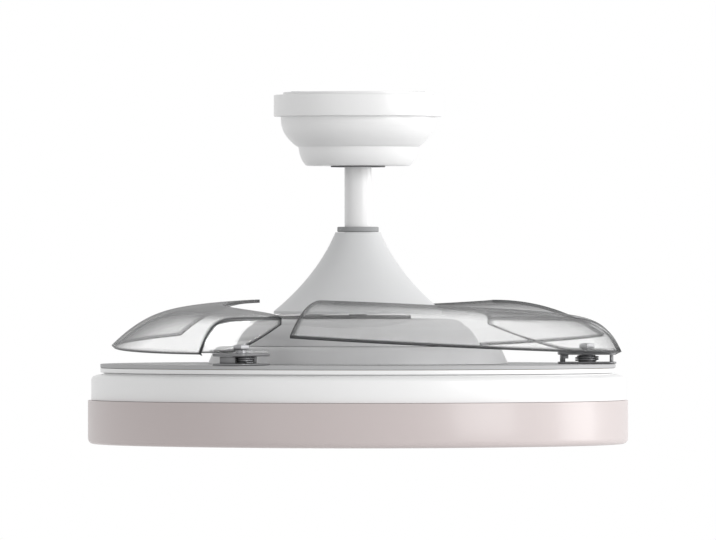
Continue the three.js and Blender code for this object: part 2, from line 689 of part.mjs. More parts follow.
// One half of the motor shell, with a boss round its bearing. The halves meet at the middle.
const motorShell = (up) => {
  const flat = up > 0 ? zMotorTop : zMotorFoot;
  const lip = zMotorMiddle + (up * GAP) / 2;
  const inner = flat - up * MOTOR_WALL;
  const bossEnd = flat - up * bossHeight;
  const shoulder = flat - up * BEARING_SHOULDER;
  const hole = SHAFT_RADIUS + SHELL_HOLE_GAP;
  const seat = BEARING_RADIUS + GAP;
  const wallInner = MOTOR_RADIUS - MOTOR_WALL;
  return turned(
    [
      at(MOTOR_RADIUS, lip), at(MOTOR_RADIUS, flat - up * MOTOR_CHAMFER),
      at(MOTOR_RADIUS - MOTOR_CHAMFER, flat), at(hole, flat), at(hole, shoulder),
      at(seat, shoulder), at(seat, bossEnd), at(bossRadius, bossEnd),
      at(bossRadius, inner), at(wallInner, inner), at(wallInner, lip),
    ],
    MEDIUM,
  );
};

const bearing = (up) => {
  const flat = up > 0 ? zMotorTop : zMotorFoot;
  const near = flat - up * (BEARING_SHOULDER + GAP);
  const far = near - up * BEARING_HEIGHT;
  return ring(SHAFT_RADIUS + GAP, BEARING_RADIUS, Math.min(near, far), Math.max(near, far), ROUND);
};

const zMagnetLow = zMotorMiddle - MAGNET_HEIGHT / 2;
place("motor_shaft", ring(SHAFT_RADIUS - SHAFT_WALL, SHAFT_RADIUS, zShaftFoot, zRodFoot, ROUND), steel());
place("stator", stator(), finish(0xa86a3c, 0.5, 0.6));
place("motor_shell_top", motorShell(1), darkSteel());
place("motor_shell_bottom", motorShell(-1), darkSteel());
const magnetRing = () => ring(magnetInner, magnetOuter, zMagnetLow, zMagnetLow + MAGNET_HEIGHT, MEDIUM);
place("magnet_ring", magnetRing(), darkSteel());
place("bearing_top", bearing(1), steel());
place("bearing_bottom", bearing(-1), steel());

// ---- Turning covers and turntable ----
// Spun cover with a rounded shoulder, a shallow flare and a turned-in seat, and a hole round the shaft.
const motorCoverLine = () => [
  at(COVER_HOLE_RADIUS, zCoverTop),
  ...lineOf(FILLET_STEPS, (path) => {
    path.moveTo(COVER_ROOF_RADIUS, zCoverTop);
    const shoulderZ = zCoverTop - COVER_SHOULDER_DROP;
    path.quadraticCurveTo(COVER_BEND_RADIUS, zCoverTop, COVER_SHOULDER_RADIUS, shoulderZ);
    path.quadraticCurveTo(COVER_RADIUS - COVER_FLARE, (zCoverTop + zCoverFoot) / 2, COVER_RADIUS, zCoverFoot);
  }),
];

const hubRingLine = () => [
  at(COVER_RADIUS - HUB_RING_SEAT, zHubRingTop),
  ...lineOf(FILLET_STEPS, (path) => {
    const shoulder = HUB_RING_SHOULDER_RADIUS;
    const bend = shoulder - HUB_RING_SHOULDER_ROUND / 4;
    path.moveTo(shoulder - HUB_RING_SHOULDER_ROUND, zHubRingTop);
    path.quadraticCurveTo(bend, zHubRingTop, shoulder, zHubRingTop - HUB_RING_SHOULDER_DROP);
    path.lineTo(HUB_RING_RADIUS, zHubRingFoot);
  }),
];

const onPivot = (solid) => solid.translate([pivotRadius, 0, 0]);
const turnedBy = (solid, degrees) => solid.rotate([0, 0, degrees]);
const bladeAzimuth = (i) => (i * 360) / BLADES;

// Upper plate of the turntable: a disc with a turned-down rim and a hole for each blade's shaft.
const deck = () => {
  const disc = turned(
    [
      at(DECK_INNER_RADIUS, zDeck), at(DECK_RADIUS - RIM_CHAMFER, zDeck),
      at(DECK_RADIUS, zDeck - RIM_CHAMFER),
      at(DECK_RADIUS, zDeckFoot), at(DECK_RADIUS - DECK_THICK, zDeckFoot),
      at(DECK_RADIUS - DECK_THICK, zDeck - DECK_THICK), at(DECK_INNER_RADIUS, zDeck - DECK_THICK),
    ],
    FINE,
  );
  const holes = Array.from({ length: BLADES }, (_, i) =>
    turnedBy(onPivot(rod(PIVOT_SHAFT_RADIUS + RUN, zDeckFoot - PAST, zDeck + PAST)), bladeAzimuth(i)),
  );
  return cut(disc, ...holes);
};

const pinionPitchRadius = (GEAR_MODULE * PINION_TEETH) / 2;
const rackPitchRadius = pivotRadius - pinionPitchRadius;
const rackRootRadius = rackPitchRadius - GEAR_MODULE * GEAR_DEDENDUM;
const rackInner = rackRootRadius - RACK_WIDTH;
// The rail stays inside the flats of the gear ring's bore.
const guideOuter = rackInner * Math.cos(Math.PI / FINE) - RUN;

// Lower tray: a raised hub under the motor, a floor with a guide rail for the gear ring, and an outer rim.
const tray = () => {
  const hubTop = zMotorFoot - GAP;
  const hubUnder = hubTop - TRAY_THICK;
  const seat = zDeck - DECK_THICK - GAP;
  const seatUnder = seat - TRAY_THICK;
  const stepRadius = MOTOR_RADIUS + TRAY_STEP;
  const wallStart = TRAY_HUB_RADIUS + TRAY_SLOPE;
  const guideTop = zPinion + GEAR_THICK;
  const guideInner = guideOuter - GUIDE_WIDTH;
  const rimInner = DECK_RADIUS - TRAY_THICK;
  return turned(
    [
      at(TRAY_HUB_HOLE_RADIUS, hubTop), at(stepRadius, hubTop), at(stepRadius + TRAY_SLOPE, seat),
      at(TRAY_HUB_RADIUS, seat), at(wallStart, zTrayFloor), at(guideInner, zTrayFloor),
      at(guideInner, guideTop), at(guideOuter, guideTop), at(guideOuter, zTrayFloor),
      at(rimInner, zTrayFloor), at(rimInner, zTrayTop), at(DECK_RADIUS, zTrayTop),
      at(DECK_RADIUS, zTrayFoot + RIM_CHAMFER), at(DECK_RADIUS - RIM_CHAMFER, zTrayFoot),
      at(wallStart - TRAY_THICK, zTrayFoot), at(TRAY_HUB_RADIUS - TRAY_THICK, seatUnder),
      at(stepRadius + TRAY_SLOPE - TRAY_THICK, seatUnder), at(stepRadius - TRAY_THICK, hubUnder),
      at(TRAY_HUB_HOLE_RADIUS, hubUnder),
    ],
    FINE,
  );
};

// ---- Pivot housing: base, bearing boss, spring post and the wall that stops the open blade ----
const earInner = POST_ARM - STOP_EAR_INSET;
const earOuter = POST_ARM + STOP_EAR_OUTSET;
const postHalfAngle = Math.asin((POST_RADIUS + GAP) / POST_ARM) / DEGREE;
const earStart = 180 + postHalfAngle + STOP_MARGIN;
const earEnd = earStart + STOP_EAR_ANGLE;
const wallStart = earEnd + OPEN_ANGLE + STOP_MARGIN - 360;
const zStopTop = zPivotPlateFoot - GAP;

const pivotHousing = () => {
  const baseTop = zPivotBase + PIVOT_BASE_THICK;
  const base = roundedPlate(PIVOT_PLATE_LENGTH, PIVOT_PLATE_WIDTH, PIVOT_PLATE_CORNER, zPivotBase, baseTop);
  const boss = rod(PIVOT_BOSS_RADIUS, zPivotBase, zStopTop);
  const post = rod(POST_RADIUS, zPivotBase, zStopTop).translate([-POST_ARM, 0, 0]);
  const wallEnd = wallStart + STOP_WALL_ANGLE;
  const stop = sector(POST_ARM, POST_ARM + STOP_WALL, wallStart, wallEnd, zPivotBase, zStopTop);
  const bore = rod(PIVOT_SHAFT_RADIUS + RUN, zPivotBase - PAST, zStopTop + PAST);
  return onPivot(cut(join(base, boss, post, stop), bore));
};

// Torsion spring: one wire of five sides, wound round the boss, with a straight leg at each end.
const zSpring = zPivotBase + PIVOT_BASE_THICK + GAP + SPRING_WIRE_RADIUS;
const springPoint = (turnShare) => {
  const clamped = Math.min(Math.max(turnShare, 0), SPRING_TURNS);
  const angle = TURN * clamped + Math.PI / 2;
  const along = (turnShare - clamped) * TURN * SPRING_RADIUS;
  const x = SPRING_RADIUS * Math.cos(angle) - along * Math.sin(angle);
  const y = SPRING_RADIUS * Math.sin(angle) + along * Math.cos(angle);
  return new THREE.Vector3(x, y, zSpring + SPRING_PITCH * clamped);
};

const springShares = () => {
  const leg = SPRING_LEG / (TURN * SPRING_RADIUS);
  const steps = SPRING_TURNS * SPRING_CURL_STEPS;
  const curls = Array.from({ length: steps + 1 }, (_, i) => i / SPRING_CURL_STEPS);
  return [-leg, ...curls, SPRING_TURNS + leg];
};

const springRings = () => {
  const shares = springShares();
  const points = shares.map(springPoint);
  return points.map((point, i) => {
    const before = points[Math.max(i - 1, 0)];
    const after = points[Math.min(i + 1, points.length - 1)];
    const along = after.clone().sub(before).normalize();
    const side = new THREE.Vector3(0, 0, 1).cross(along).normalize();
    const up = along.clone().cross(side);
    return Array.from({ length: SPRING_SIDES }, (_, k) => {
      const angle = (k / SPRING_SIDES) * TURN;
      const out = side.clone().multiplyScalar(Math.cos(angle)).addScaledVector(up, Math.sin(angle));
      return point.clone().addScaledVector(out, SPRING_WIRE_RADIUS);
    });
  });
};

// A closed body from rings of equal count: walls between neighbours and a flat cap at each end.
const lofted = (rings) => {
  const count = rings[0].length;
  const vertices = rings.flat().flatMap((p) => [p.x, p.y, p.z]);
  const faces = [];
  for (let i = 0; i < rings.length - 1; i++) {
    for (let k = 0; k < count; k++) {
      const a = i * count + k;
      const b = i * count + ((k + 1) % count);
      faces.push(a, b, b + count, a, b + count, a + count);
    }
  }
  const last = (rings.length - 1) * count;
  for (let k = 1; k < count - 1; k++) {
    faces.push(0, k + 1, k, last, last + k, last + k + 1);
  }
  const geometry = new THREE.BufferGeometry();
  geometry.setAttribute("position", new THREE.Float32BufferAttribute(vertices, 3));
  geometry.setIndex(faces);
  return geometry;
};

const returnSpring = () => onPivot(solidOf(lofted(springRings())));

const springSelfGap = () => {
  const count = 40;
  const curls = Array.from({ length: count * SPRING_TURNS + 1 }, (_, i) => springPoint(i / count));
  const gaps = curls.flatMap((p, i) => curls.slice(i + count / 2).map((q) => p.distanceTo(q)));
  return Math.min(...gaps) - 2 * SPRING_WIRE_RADIUS;
};
console.log(`return spring's least gap to itself: ${springSelfGap().toFixed(2)} mm`);

// ---- Gears ----
const involuteHalfAngle = (teeth, radius) => {
  const pitch = (GEAR_MODULE * teeth) / 2;
  const base = pitch * Math.cos(PRESSURE_ANGLE * DEGREE);
  const spread = (r) => {
    const bend = Math.acos(Math.min(1, base / r));
    return Math.tan(bend) - bend;
  };
  return (TURN / teeth) / 4 - GEAR_BACKLASH / 2 / pitch + spread(pitch) - spread(Math.max(radius, base));
};

// One tooth's outline, counter-clockwise about the gear's centre.
const toothPoints = (teeth, centre) => {
  const pitch = (GEAR_MODULE * teeth) / 2;
  const radii = [-GEAR_DEDENDUM, GEAR_FLANK, GEAR_ADDENDUM].map((modules) => pitch + GEAR_MODULE * modules);
  const flank = (side) =>
    radii.map((r) => {
      const angle = centre + side * involuteHalfAngle(teeth, r);
      return at(r * Math.cos(angle), r * Math.sin(angle));
    });
  return [...flank(-1), ...flank(1).reverse()];
};

// Points of a plain arc about the gear's centre.
const arcPoints = (radius, from, to, steps) =>
  Array.from({ length: steps + 1 }, (_, i) => {
    const angle = from + ((to - from) * i) / steps;
    return at(radius * Math.cos(angle), radius * Math.sin(angle));
  });

const pinion = () => {
  const root = pinionPitchRadius - GEAR_MODULE * GEAR_DEDENDUM;
  const pitchAngle = TURN / PINION_TEETH;
  const firstTooth = Math.PI - (PINION_SECTOR_TEETH - 1 - PINION_LEAD) * pitchAngle;
  const teeth = Array.from({ length: PINION_SECTOR_TEETH }, (_, i) =>
    toothPoints(PINION_TEETH, firstTooth + i * pitchAngle),
  );
  const from = Math.PI + (PINION_LEAD + 0.5) * pitchAngle;
  const to = from + TURN - PINION_SECTOR_TEETH * pitchAngle;
  const shape = new THREE.Shape([...teeth.flat(), ...arcPoints(root, from, to, PINION_PLAIN_STEPS)]);
  const blank = raised(shape, zPinion, zPinion + GEAR_THICK);
  return onPivot(cut(blank, rod(PIVOT_SHAFT_RADIUS + GAP, zPinion - PAST, zPinion + GEAR_THICK + PAST)));
};

// Gear ring with a run of outer teeth at each pivot. Its gaps meet the pinions' teeth at rest.
const syncRing = () => {
  const teethRound = (2 * rackPitchRadius) / GEAR_MODULE;
  const pitchAngle = TURN / teethRound;
  const outline = Array.from({ length: BLADES }, (_, i) => {
    const firstTooth = bladeAzimuth(i) * DEGREE - RACK_LEAD * pitchAngle;
    const teeth = Array.from({ length: RACK_SECTOR_TEETH }, (_, k) =>
      toothPoints(teethRound, firstTooth + k * pitchAngle),
    );
    const from = firstTooth + RACK_SECTOR_TEETH * pitchAngle;
    const to = firstTooth + TURN / BLADES - pitchAngle;
    return [...teeth.flat(), ...arcPoints(rackRootRadius, from, to, RACK_PLAIN_STEPS)];
  });
  const shape = new THREE.Shape(outline.flat());
  const hole = new THREE.Path();
  hole.absarc(0, 0, rackInner, 0, TURN, true);
  shape.holes.push(hole);
  return raised(shape, zPinion, zPinion + GEAR_THICK, FINE / 2);
};

place("motor_cover", turned(walled(motorCoverLine(), COVER_WALL), MEDIUM), greyCoat());
place("hub_ring", turned(walled(hubRingLine(), COVER_WALL), FINE), greyCoat());
place("turntable_deck", deck(), darkSteel());
place("turntable_tray", tray(), whiteCoat());
place("sync_ring", syncRing(), finish(0xd8c9a3, 0.4, 0.6));

// ---- Blades ----
// In each blade's own frame its pivot lies on the X axis, and the folded blade runs clockwise from it.
const edgeArcRadius = DECK_RADIUS + EDGE_ARC_GROWTH;
const rootInnerRadius = pivotRadius - ROOT_INNER_REACH;
const tipInnerRadius = pivotRadius - TIP_INNER_REACH;
const footInnerRadius = pivotRadius - FOOT_REACH;
const outerEdge = (psi) => {
  const angle = (psi + EDGE_ARC_AZIMUTH) * DEGREE;
  const reach = Math.sqrt(edgeArcRadius ** 2 - (EDGE_ARC_OFFSET * Math.sin(angle)) ** 2);
  return EDGE_ARC_OFFSET * Math.cos(angle) + reach;
};
const innerEdge = (psi) => rootInnerRadius + ((tipInnerRadius - rootInnerRadius) * psi) / BLADE_END;
const spanShare = (psi) => Math.max(0, (psi - BLADE_START) / (BLADE_END - BLADE_START));

// A point on the blade's upper face: chord runs from 0 at the outer edge to 1 at the inner one.
const bladePoint = (psi, chord) => {
  const share = spanShare(psi);
  const round = TIP_ROUND + (ROOT_ROUND - TIP_ROUND) * (1 - share) ** ROUND_POWER;
  const lift = TIP_LIFT * share ** LIFT_POWER;
  const radius = outerEdge(psi) + (innerEdge(psi) - outerEdge(psi)) * chord;
  const z = zFoot + lift + BLADE_RISE * (1 - (1 - chord) ** round);
  return new THREE.Vector3(radius * Math.cos(psi * DEGREE), -radius * Math.sin(psi * DEGREE), z);
};

const bladeNormal = (psi, chord) => {
  const step = 0.01;
  const low = Math.min(chord, 1 - step);
  const spanwise = bladePoint(psi + step, low).sub(bladePoint(psi, low));
  const chordwise = bladePoint(psi, low + step).sub(bladePoint(psi, low));
  return spanwise.cross(chordwise).normalize();
};

const stepShares = Array.from({ length: CHORD_STEPS + 1 }, (_, i) => i / CHORD_STEPS);
const chordShares = stepShares.map((share) => share ** EDGE_CROWDING);

const bladeSheet = () => {
  const rings = Array.from({ length: SPAN_STEPS + 1 }, (_, i) => {
    const psi = BLADE_START + ((BLADE_END - BLADE_START) * i) / SPAN_STEPS;
    const top = chordShares.map((chord) => bladePoint(psi, chord));
    const under = top.map((p, k) => p.clone().addScaledVector(bladeNormal(psi, chordShares[k]), BLADE_THICK));
    return [...top, ...under.reverse()];
  });
  return solidOf(lofted(rings));
};

// End wall under the blade's root: it follows the sheet above and sweeps down to the foot below.
const rootWall = () => {
  const top = chordShares.map((chord) => bladePoint(BLADE_START, chord));
  const shape = new THREE.Shape();
  const outline = top.map((p) => at(Math.hypot(p.x, p.y), p.z - BLADE_THICK / 2));
  const outerFoot = outline[0];
  shape.moveTo(outerFoot.x, zFoot);
  outline.forEach((p) => shape.lineTo(p.x, Math.max(p.y, zFoot + WALL_LEAST_HEIGHT)));
  const inner = outline[outline.length - 1];
  shape.lineTo(inner.x, inner.y - BLADE_THICK);
  shape.quadraticCurveTo(inner.x + WALL_SWEEP, inner.y - WALL_DROP, footInnerRadius + WALL_LANDING, zFoot);
  shape.closePath();
  const settings = { depth: BLADE_THICK, bevelEnabled: false, curveSegments: WALL_STEPS };
  const upright = new THREE.ExtrudeGeometry(shape, settings).rotateX(Math.PI / 2);
  return turnedBy(solidOf(upright), WALL_OVERLAP - BLADE_START);
};

const bladeFoot = () => {
  const length = DECK_RADIUS - footInnerRadius;
  const middle = (DECK_RADIUS + footInnerRadius) / 2;
  const plate = roundedPlate(length, PIVOT_PLATE_WIDTH, FOOT_CORNER, zFoot, zFootTop, middle);
  const reach = middle * Math.sin(BLADE_START * DEGREE) + BLADE_THICK;
  const neckInner = footInnerRadius + WALL_LANDING;
  const neckLength = DECK_RADIUS - FOOT_CORNER - neckInner;
  const neckX = neckInner + neckLength / 2;
  const neck = box(neckX, -reach / 2, zFoot, neckLength, reach + BLADE_THICK, FOOT_THICK);
  return join(plate, neck);
};

const blade = () => {
  const shaftHole = onPivot(rod(PIVOT_SHAFT_RADIUS + GAP, zFoot - PAST, zFootTop + PAST));
  return cut(join(bladeSheet(), rootWall(), bladeFoot()), shaftHole);
};

// Steel plate under the blade's foot, with the ear that meets the housing's stops.
const rootPlate = () => {
  const low = zPivotPlateFoot;
  const high = zPivotPlateTop;
  const plate = roundedPlate(PIVOT_PLATE_LENGTH, PIVOT_PLATE_WIDTH, PIVOT_PLATE_CORNER, low, high);
  const ear = sector(earInner, earOuter, earStart, earEnd, low - STOP_DROP, high);
  const hole = rod(PIVOT_SHAFT_RADIUS + GAP, low - PAST, high + PAST);
  return onPivot(cut(join(plate, ear), hole));
};

const pivotShaft = () => {
  const shank = rod(PIVOT_SHAFT_RADIUS, zTrayFloor + GAP, zFootTop + GAP + SUNK);
  const nut = rod(PIVOT_NUT_RADIUS, zFootTop + GAP, zFootTop + GAP + PIVOT_NUT_HEIGHT, HEXAGON);
  return onPivot(join(shank, nut));
};

const clear = () => finish(0xe8f0f2, 0.08, 0, 0.35);
for (let i = 0; i < BLADES; i++) {
  const station = new THREE.Group();
  station.rotation.z = bladeAzimuth(i) * DEGREE;
  fan.add(station);
  const number = i + 1;
  place(`pivot_housing_${number}`, pivotHousing(), darkSteel(), station);
  place(`return_spring_${number}`, returnSpring(), steel(), station);
  place(`blade_${number}`, blade(), clear(), station);
  place(`blade_root_plate_${number}`, rootPlate(), darkSteel(), station);
  place(`pivot_shaft_${number}`, pivotShaft(), steel(), station);
  place(`pivot_pinion_${number}`, pinion(), finish(0xd8c9a3, 0.4, 0.6), station);
}

// ---- Lamp ----
const tabInner = NECK_RADIUS + GAP;
const zTabTop = zLampFoot + TAB_THICK + TAB_LIFT;
const zLug = zTabTop + GAP;
const panInner = LAMP_RADIUS - LAMP_WALL;
const panUnder = zLampTop - LAMP_WALL;

// Pressed pan: a flat top on the hub, a chamfered rim, standoffs for the board and bayonet tabs at the foot.
const lampPan = () => {
  const rim = [
    at(SHAFT_RADIUS + GAP, zLampTop), at(LAMP_RADIUS - LAMP_TOP_INSET, zLampTop),
    at(LAMP_RADIUS, zLampTop - LAMP_CHAMFER), at(LAMP_RADIUS, zLampFoot),
  ];
  const shell = turned(walled(rim, LAMP_WALL), FINE);
  const standoffCircle = (BOARD_RADIUS + BOARD_HOLE_RADIUS) / 2;
  const post = rod(STANDOFF_RADIUS, panUnder - BOARD_STANDOFF, panUnder + SUNK);
  const standoffs = Array.from({ length: BOARD_STANDOFFS }, (_, i) =>
    turnedBy(post.translate([standoffCircle, 0, 0]), ((i + 0.5) * 360) / BOARD_STANDOFFS),
  );
  const tabs = Array.from({ length: LUGS }, (_, i) => {
    const middle = (i * 360) / LUGS;
    const half = LUG_ANGLE / 2;
    return sector(tabInner, panInner + SUNK, middle - half, middle + half, zTabTop - TAB_THICK, zTabTop);
  });
  return join(shell, ...standoffs, ...tabs);
};

// Opal bowl: a slightly domed floor, a step under the pan and a neck with three lugs that rest on the tabs.
const diffuser = () => {
  const bottom = zDiffuserFoot + DIFFUSER_DOME;
  const wallInner = DIFFUSER_RADIUS - DIFFUSER_WALL;
  const shelf = zDiffuserTop - DIFFUSER_WALL;
  const neckInner = NECK_RADIUS - DIFFUSER_WALL;
  const neckTop = zDiffuserTop + NECK_HEIGHT;
  const bowl = lineOf(FILLET_STEPS, (path) => {
    path.moveTo(DIFFUSER_RADIUS, zDiffuserTop);
    path.lineTo(DIFFUSER_RADIUS, bottom + DIFFUSER_FILLET);
    path.quadraticCurveTo(DIFFUSER_RADIUS, bottom, DIFFUSER_RADIUS - DIFFUSER_FILLET, bottom);
    path.quadraticCurveTo(DIFFUSER_RADIUS / 2, zDiffuserFoot, 0, zDiffuserFoot);
  });
  const inside = bowl.slice(1).map((p) => at(Math.min(p.x, wallInner), p.y + DIFFUSER_WALL));
  const outline = [
    ...bowl, ...inside.reverse(),
    at(wallInner, shelf), at(neckInner, shelf), at(neckInner, neckTop), at(NECK_RADIUS, neckTop),
    at(NECK_RADIUS, zDiffuserTop),
  ];
  const lugInner = NECK_RADIUS - PAST;
  const lugOuter = NECK_RADIUS + LUG_REACH;
  const lugs = Array.from({ length: LUGS }, (_, i) => {
    const middle = (i * 360) / LUGS;
    const half = LUG_ANGLE / 2;
    return sector(lugInner, lugOuter, middle - half, middle + half, zLug, zLug + LUG_THICK);
  });
  return join(turned(outline, FINE), ...lugs);
};

const zBoardTop = panUnder - BOARD_STANDOFF - GAP;
const ledBoard = () => ring(BOARD_HOLE_RADIUS, BOARD_RADIUS, zBoardTop - BOARD_THICK, zBoardTop, FINE);

const ledDriver = () => {
  const top = panUnder - GAP;
  const body = roundedPlate(DRIVER_LENGTH, DRIVER_WIDTH, DRIVER_CORNER, top - DRIVER_HEIGHT, top);
  return body.translate([0, DRIVER_OFFSET, 0]);
};

const lampHub = () => {
  const top = panUnder - GAP;
  const bore = SHAFT_RADIUS + GAP;
  const flange = ring(bore, HUB_FLANGE_RADIUS, top - HUB_FLANGE, top, ROUND);
  return join(flange, ring(bore, bore + HUB_WALL, top - HUB_HEIGHT, top - SUNK, ROUND));
};

const shaftNut = () => {
  const top = panUnder - GAP - HUB_HEIGHT - GAP;
  const foot = top - SHAFT_NUT_HEIGHT;
  const bore = rod(SHAFT_RADIUS + GAP, foot - PAST, top + PAST, ROUND);
  return cut(rod(SHAFT_NUT_RADIUS, foot, top, HEXAGON), bore);
};

place("lamp_pan", lampPan(), whiteCoat());
place("diffuser", diffuser(), finish(0xe6dddc, 0.5, 0));
place("led_board", ledBoard(), finish(0xf4f4f0, 0.5, 0.1));
place("led_driver", ledDriver(), whitePlastic());
place("lamp_hub", lampHub(), steel());
place("shaft_nut", shaftNut(), steel());

export default fan;
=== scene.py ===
# Looks of a ceiling fan whose clear blades fold over a round lamp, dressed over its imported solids.
import json
import math

import bmesh
import bpy
from mathutils import Matrix, Vector


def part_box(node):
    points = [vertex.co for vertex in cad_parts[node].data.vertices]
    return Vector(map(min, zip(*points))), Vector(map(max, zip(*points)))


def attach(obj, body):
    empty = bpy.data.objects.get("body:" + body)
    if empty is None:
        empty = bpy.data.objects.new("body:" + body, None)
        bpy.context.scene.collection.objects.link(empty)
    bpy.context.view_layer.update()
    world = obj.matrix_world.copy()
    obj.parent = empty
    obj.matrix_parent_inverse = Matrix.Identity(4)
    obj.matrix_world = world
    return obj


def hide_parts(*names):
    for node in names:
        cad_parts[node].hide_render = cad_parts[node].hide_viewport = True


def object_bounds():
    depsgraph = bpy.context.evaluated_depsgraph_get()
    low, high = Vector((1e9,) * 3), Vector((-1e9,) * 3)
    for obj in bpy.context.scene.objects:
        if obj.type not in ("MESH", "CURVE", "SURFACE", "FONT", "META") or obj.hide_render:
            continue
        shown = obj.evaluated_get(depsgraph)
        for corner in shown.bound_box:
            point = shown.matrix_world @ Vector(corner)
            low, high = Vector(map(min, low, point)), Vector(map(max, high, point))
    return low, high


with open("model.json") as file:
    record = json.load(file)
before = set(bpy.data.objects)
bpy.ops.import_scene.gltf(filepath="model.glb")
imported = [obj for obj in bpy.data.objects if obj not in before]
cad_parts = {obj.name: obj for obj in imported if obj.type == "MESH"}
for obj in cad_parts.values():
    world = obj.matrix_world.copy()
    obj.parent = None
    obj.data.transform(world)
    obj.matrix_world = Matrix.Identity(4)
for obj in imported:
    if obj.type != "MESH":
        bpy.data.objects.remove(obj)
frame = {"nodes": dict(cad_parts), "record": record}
cad_low, cad_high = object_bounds()
scene = bpy.context.scene
scene.view_settings.view_transform = "Standard"

# ---- Camera ----
# A long lens, level with the cone cover and square to the fan, because the photograph has almost no
# perspective. Its frame is as wide at the fan as the photograph's.
MM = 0.001
eye_height = -165 * MM
camera_distance = 9.5
frame_width_at_fan = 663 * MM
farthest_view = 60
lens = bpy.data.cameras.new("camera")
lens.sensor_width = 36
lens.lens = lens.sensor_width * camera_distance / frame_width_at_fan
lens.clip_end = farthest_view
camera = bpy.data.objects.new("camera", lens)
camera.location = (0, -camera_distance, eye_height)
camera.rotation_euler = (math.pi / 2, 0, 0)
scene.collection.objects.link(camera)
scene.camera = camera


# ---- Studio ----
# White all round for what the camera, gloss and clear plastic see, and softer for what lights the fan. A
# broad lamp on the right, a rim lamp behind it and a weak one on the left. The floor is clear from below.
class Shade:
    """One wrapped socket: Python's operators add Math nodes, and node() adds any other node."""

    def __init__(self, tree, socket=None):
        self.tree = tree
        self.socket = socket

    def node(self, kind, settings=None, values=None, out=0):
        made = self.tree.nodes.new(kind)
        for name, value in (settings or {}).items():
            if name == "stops":
                ramp = made.color_ramp
                while len(ramp.elements) < len(value):
                    ramp.elements.new(0.5)
                for element, (place, tone) in zip(ramp.elements, value):
                    element.position = place
                    element.color = (tone, tone, tone, 1)
            else:
                setattr(made, name, value)
        for name, value in (values or {}).items():
            if isinstance(value, Shade):
                self.tree.links.new(value.socket, made.inputs[name])
            else:
                made.inputs[name].default_value = value
        return Shade(self.tree, made.outputs[out])

    def maths(self, operation, first, second):
        return self.node("ShaderNodeMath", {"operation": operation}, {0: first, 1: second})

    def __add__(self, other):
        return self.maths("ADD", self, other)

    def __sub__(self, other):
        return self.maths("SUBTRACT", self, other)

    def __rsub__(self, other):
        return self.maths("SUBTRACT", other, self)

    def __mul__(self, other):
        return self.maths("MULTIPLY", self, other)

    __radd__ = __add__
    __rmul__ = __mul__

    def mixed(self, low, high):
        """Mixes two colours by this shade, through the Mix node's colour sockets: 6, 7 and output 2."""
        colours = {"data_type": "RGBA"}
        return self.node("ShaderNodeMix", colours, {0: self, 6: (*low, 1), 7: (*high, 1)}, out=2)


def feed(shader, socket, shade):
    shader.id_data.links.new(shade.socket, shader.inputs[socket])


def material_of(name, roughness, metallic=0.0):
    """A new material, its Principled shader, and the wrapper that adds nodes to it."""
    made = bpy.data.materials.new(name)
    made.use_nodes = True
    shader = made.node_tree.nodes["Principled BSDF"]
    shader.inputs["Roughness"].default_value = roughness
    shader.inputs["Metallic"].default_value = metallic
    return made, shader, Shade(made.node_tree)


ambient_level = 0.62
world = bpy.data.worlds.new("studio")
scene.world = world
world.use_nodes = True
backdrop = world.node_tree.nodes["Background"]
backdrop.inputs["Color"].default_value = (1, 1, 1, 1)
room = Shade(world.node_tree)
seen = room.node("ShaderNodeLightPath", out="Is Camera Ray")
for ray in ("Is Glossy Ray", "Is Transmission Ray"):
    seen = seen + room.node("ShaderNodeLightPath", out=ray)
seen = room.node("ShaderNodeClamp", None, {"Value": seen})
feed(backdrop, "Strength", seen * (1 - ambient_level) + ambient_level)


def soft_lamp(name, place, size, power):
    """A square lamp, its side in metres and its power in watts, turned to the fan."""
    lamp = bpy.data.lights.new(name, "AREA")
    lamp.size = size
    lamp.energy = power
    holder = bpy.data.objects.new(name, lamp)
    holder.location = place
    aim = Vector((0, 0, eye_height)) - Vector(place)
    holder.rotation_euler = aim.to_track_quat("-Z", "Y").to_euler()
    scene.collection.objects.link(holder)


soft_lamp("right_lamp", (2.6, -1.9, 0.5), size=1.6, power=46)
soft_lamp("rim_lamp", (3.2, 0.9, 0.1), size=1.4, power=30)
soft_lamp("left_lamp", (-2.4, -2.6, 0.3), size=1.8, power=5)

floor_half_width = 3
floor_height = cad_low[2] - 1.4
floor_mesh = bpy.data.meshes.new("floor")
floor_shape = bmesh.new()
bmesh.ops.create_grid(floor_shape, x_segments=1, y_segments=1, size=floor_half_width)
bmesh.ops.translate(floor_shape, verts=floor_shape.verts, vec=(0, 0, floor_height))
floor_shape.to_mesh(floor_mesh)
floor_shape.free()
floor = bpy.data.objects.new("floor", floor_mesh)
scene.collection.objects.link(floor)
pale_floor, floor_shader, floor_paint = material_of("pale_floor", 0.9)
floor_shader.inputs["Base Color"].default_value = (0.92, 0.92, 0.92, 1)
seen_from_below = floor_paint.node("ShaderNodeNewGeometry", out="Backfacing")
feed(floor_shader, "Alpha", 1 - seen_from_below)
floor_mesh.materials.append(pale_floor)


# ---- Canopy ----
# A cup spun from sheet steel, with a rolled lip and two steps above its flat foot, sprayed satin white. It
# hides the bracket and hangs from it by two screws.
def speckle(paint, scale, detail=3.0):
    """Noise that sits on the piece's own coordinates."""
    place = paint.node("ShaderNodeTexCoord", out="Object")
    return paint.node("ShaderNodeTexNoise", None, {"Vector": place, "Scale": scale, "Detail": detail})


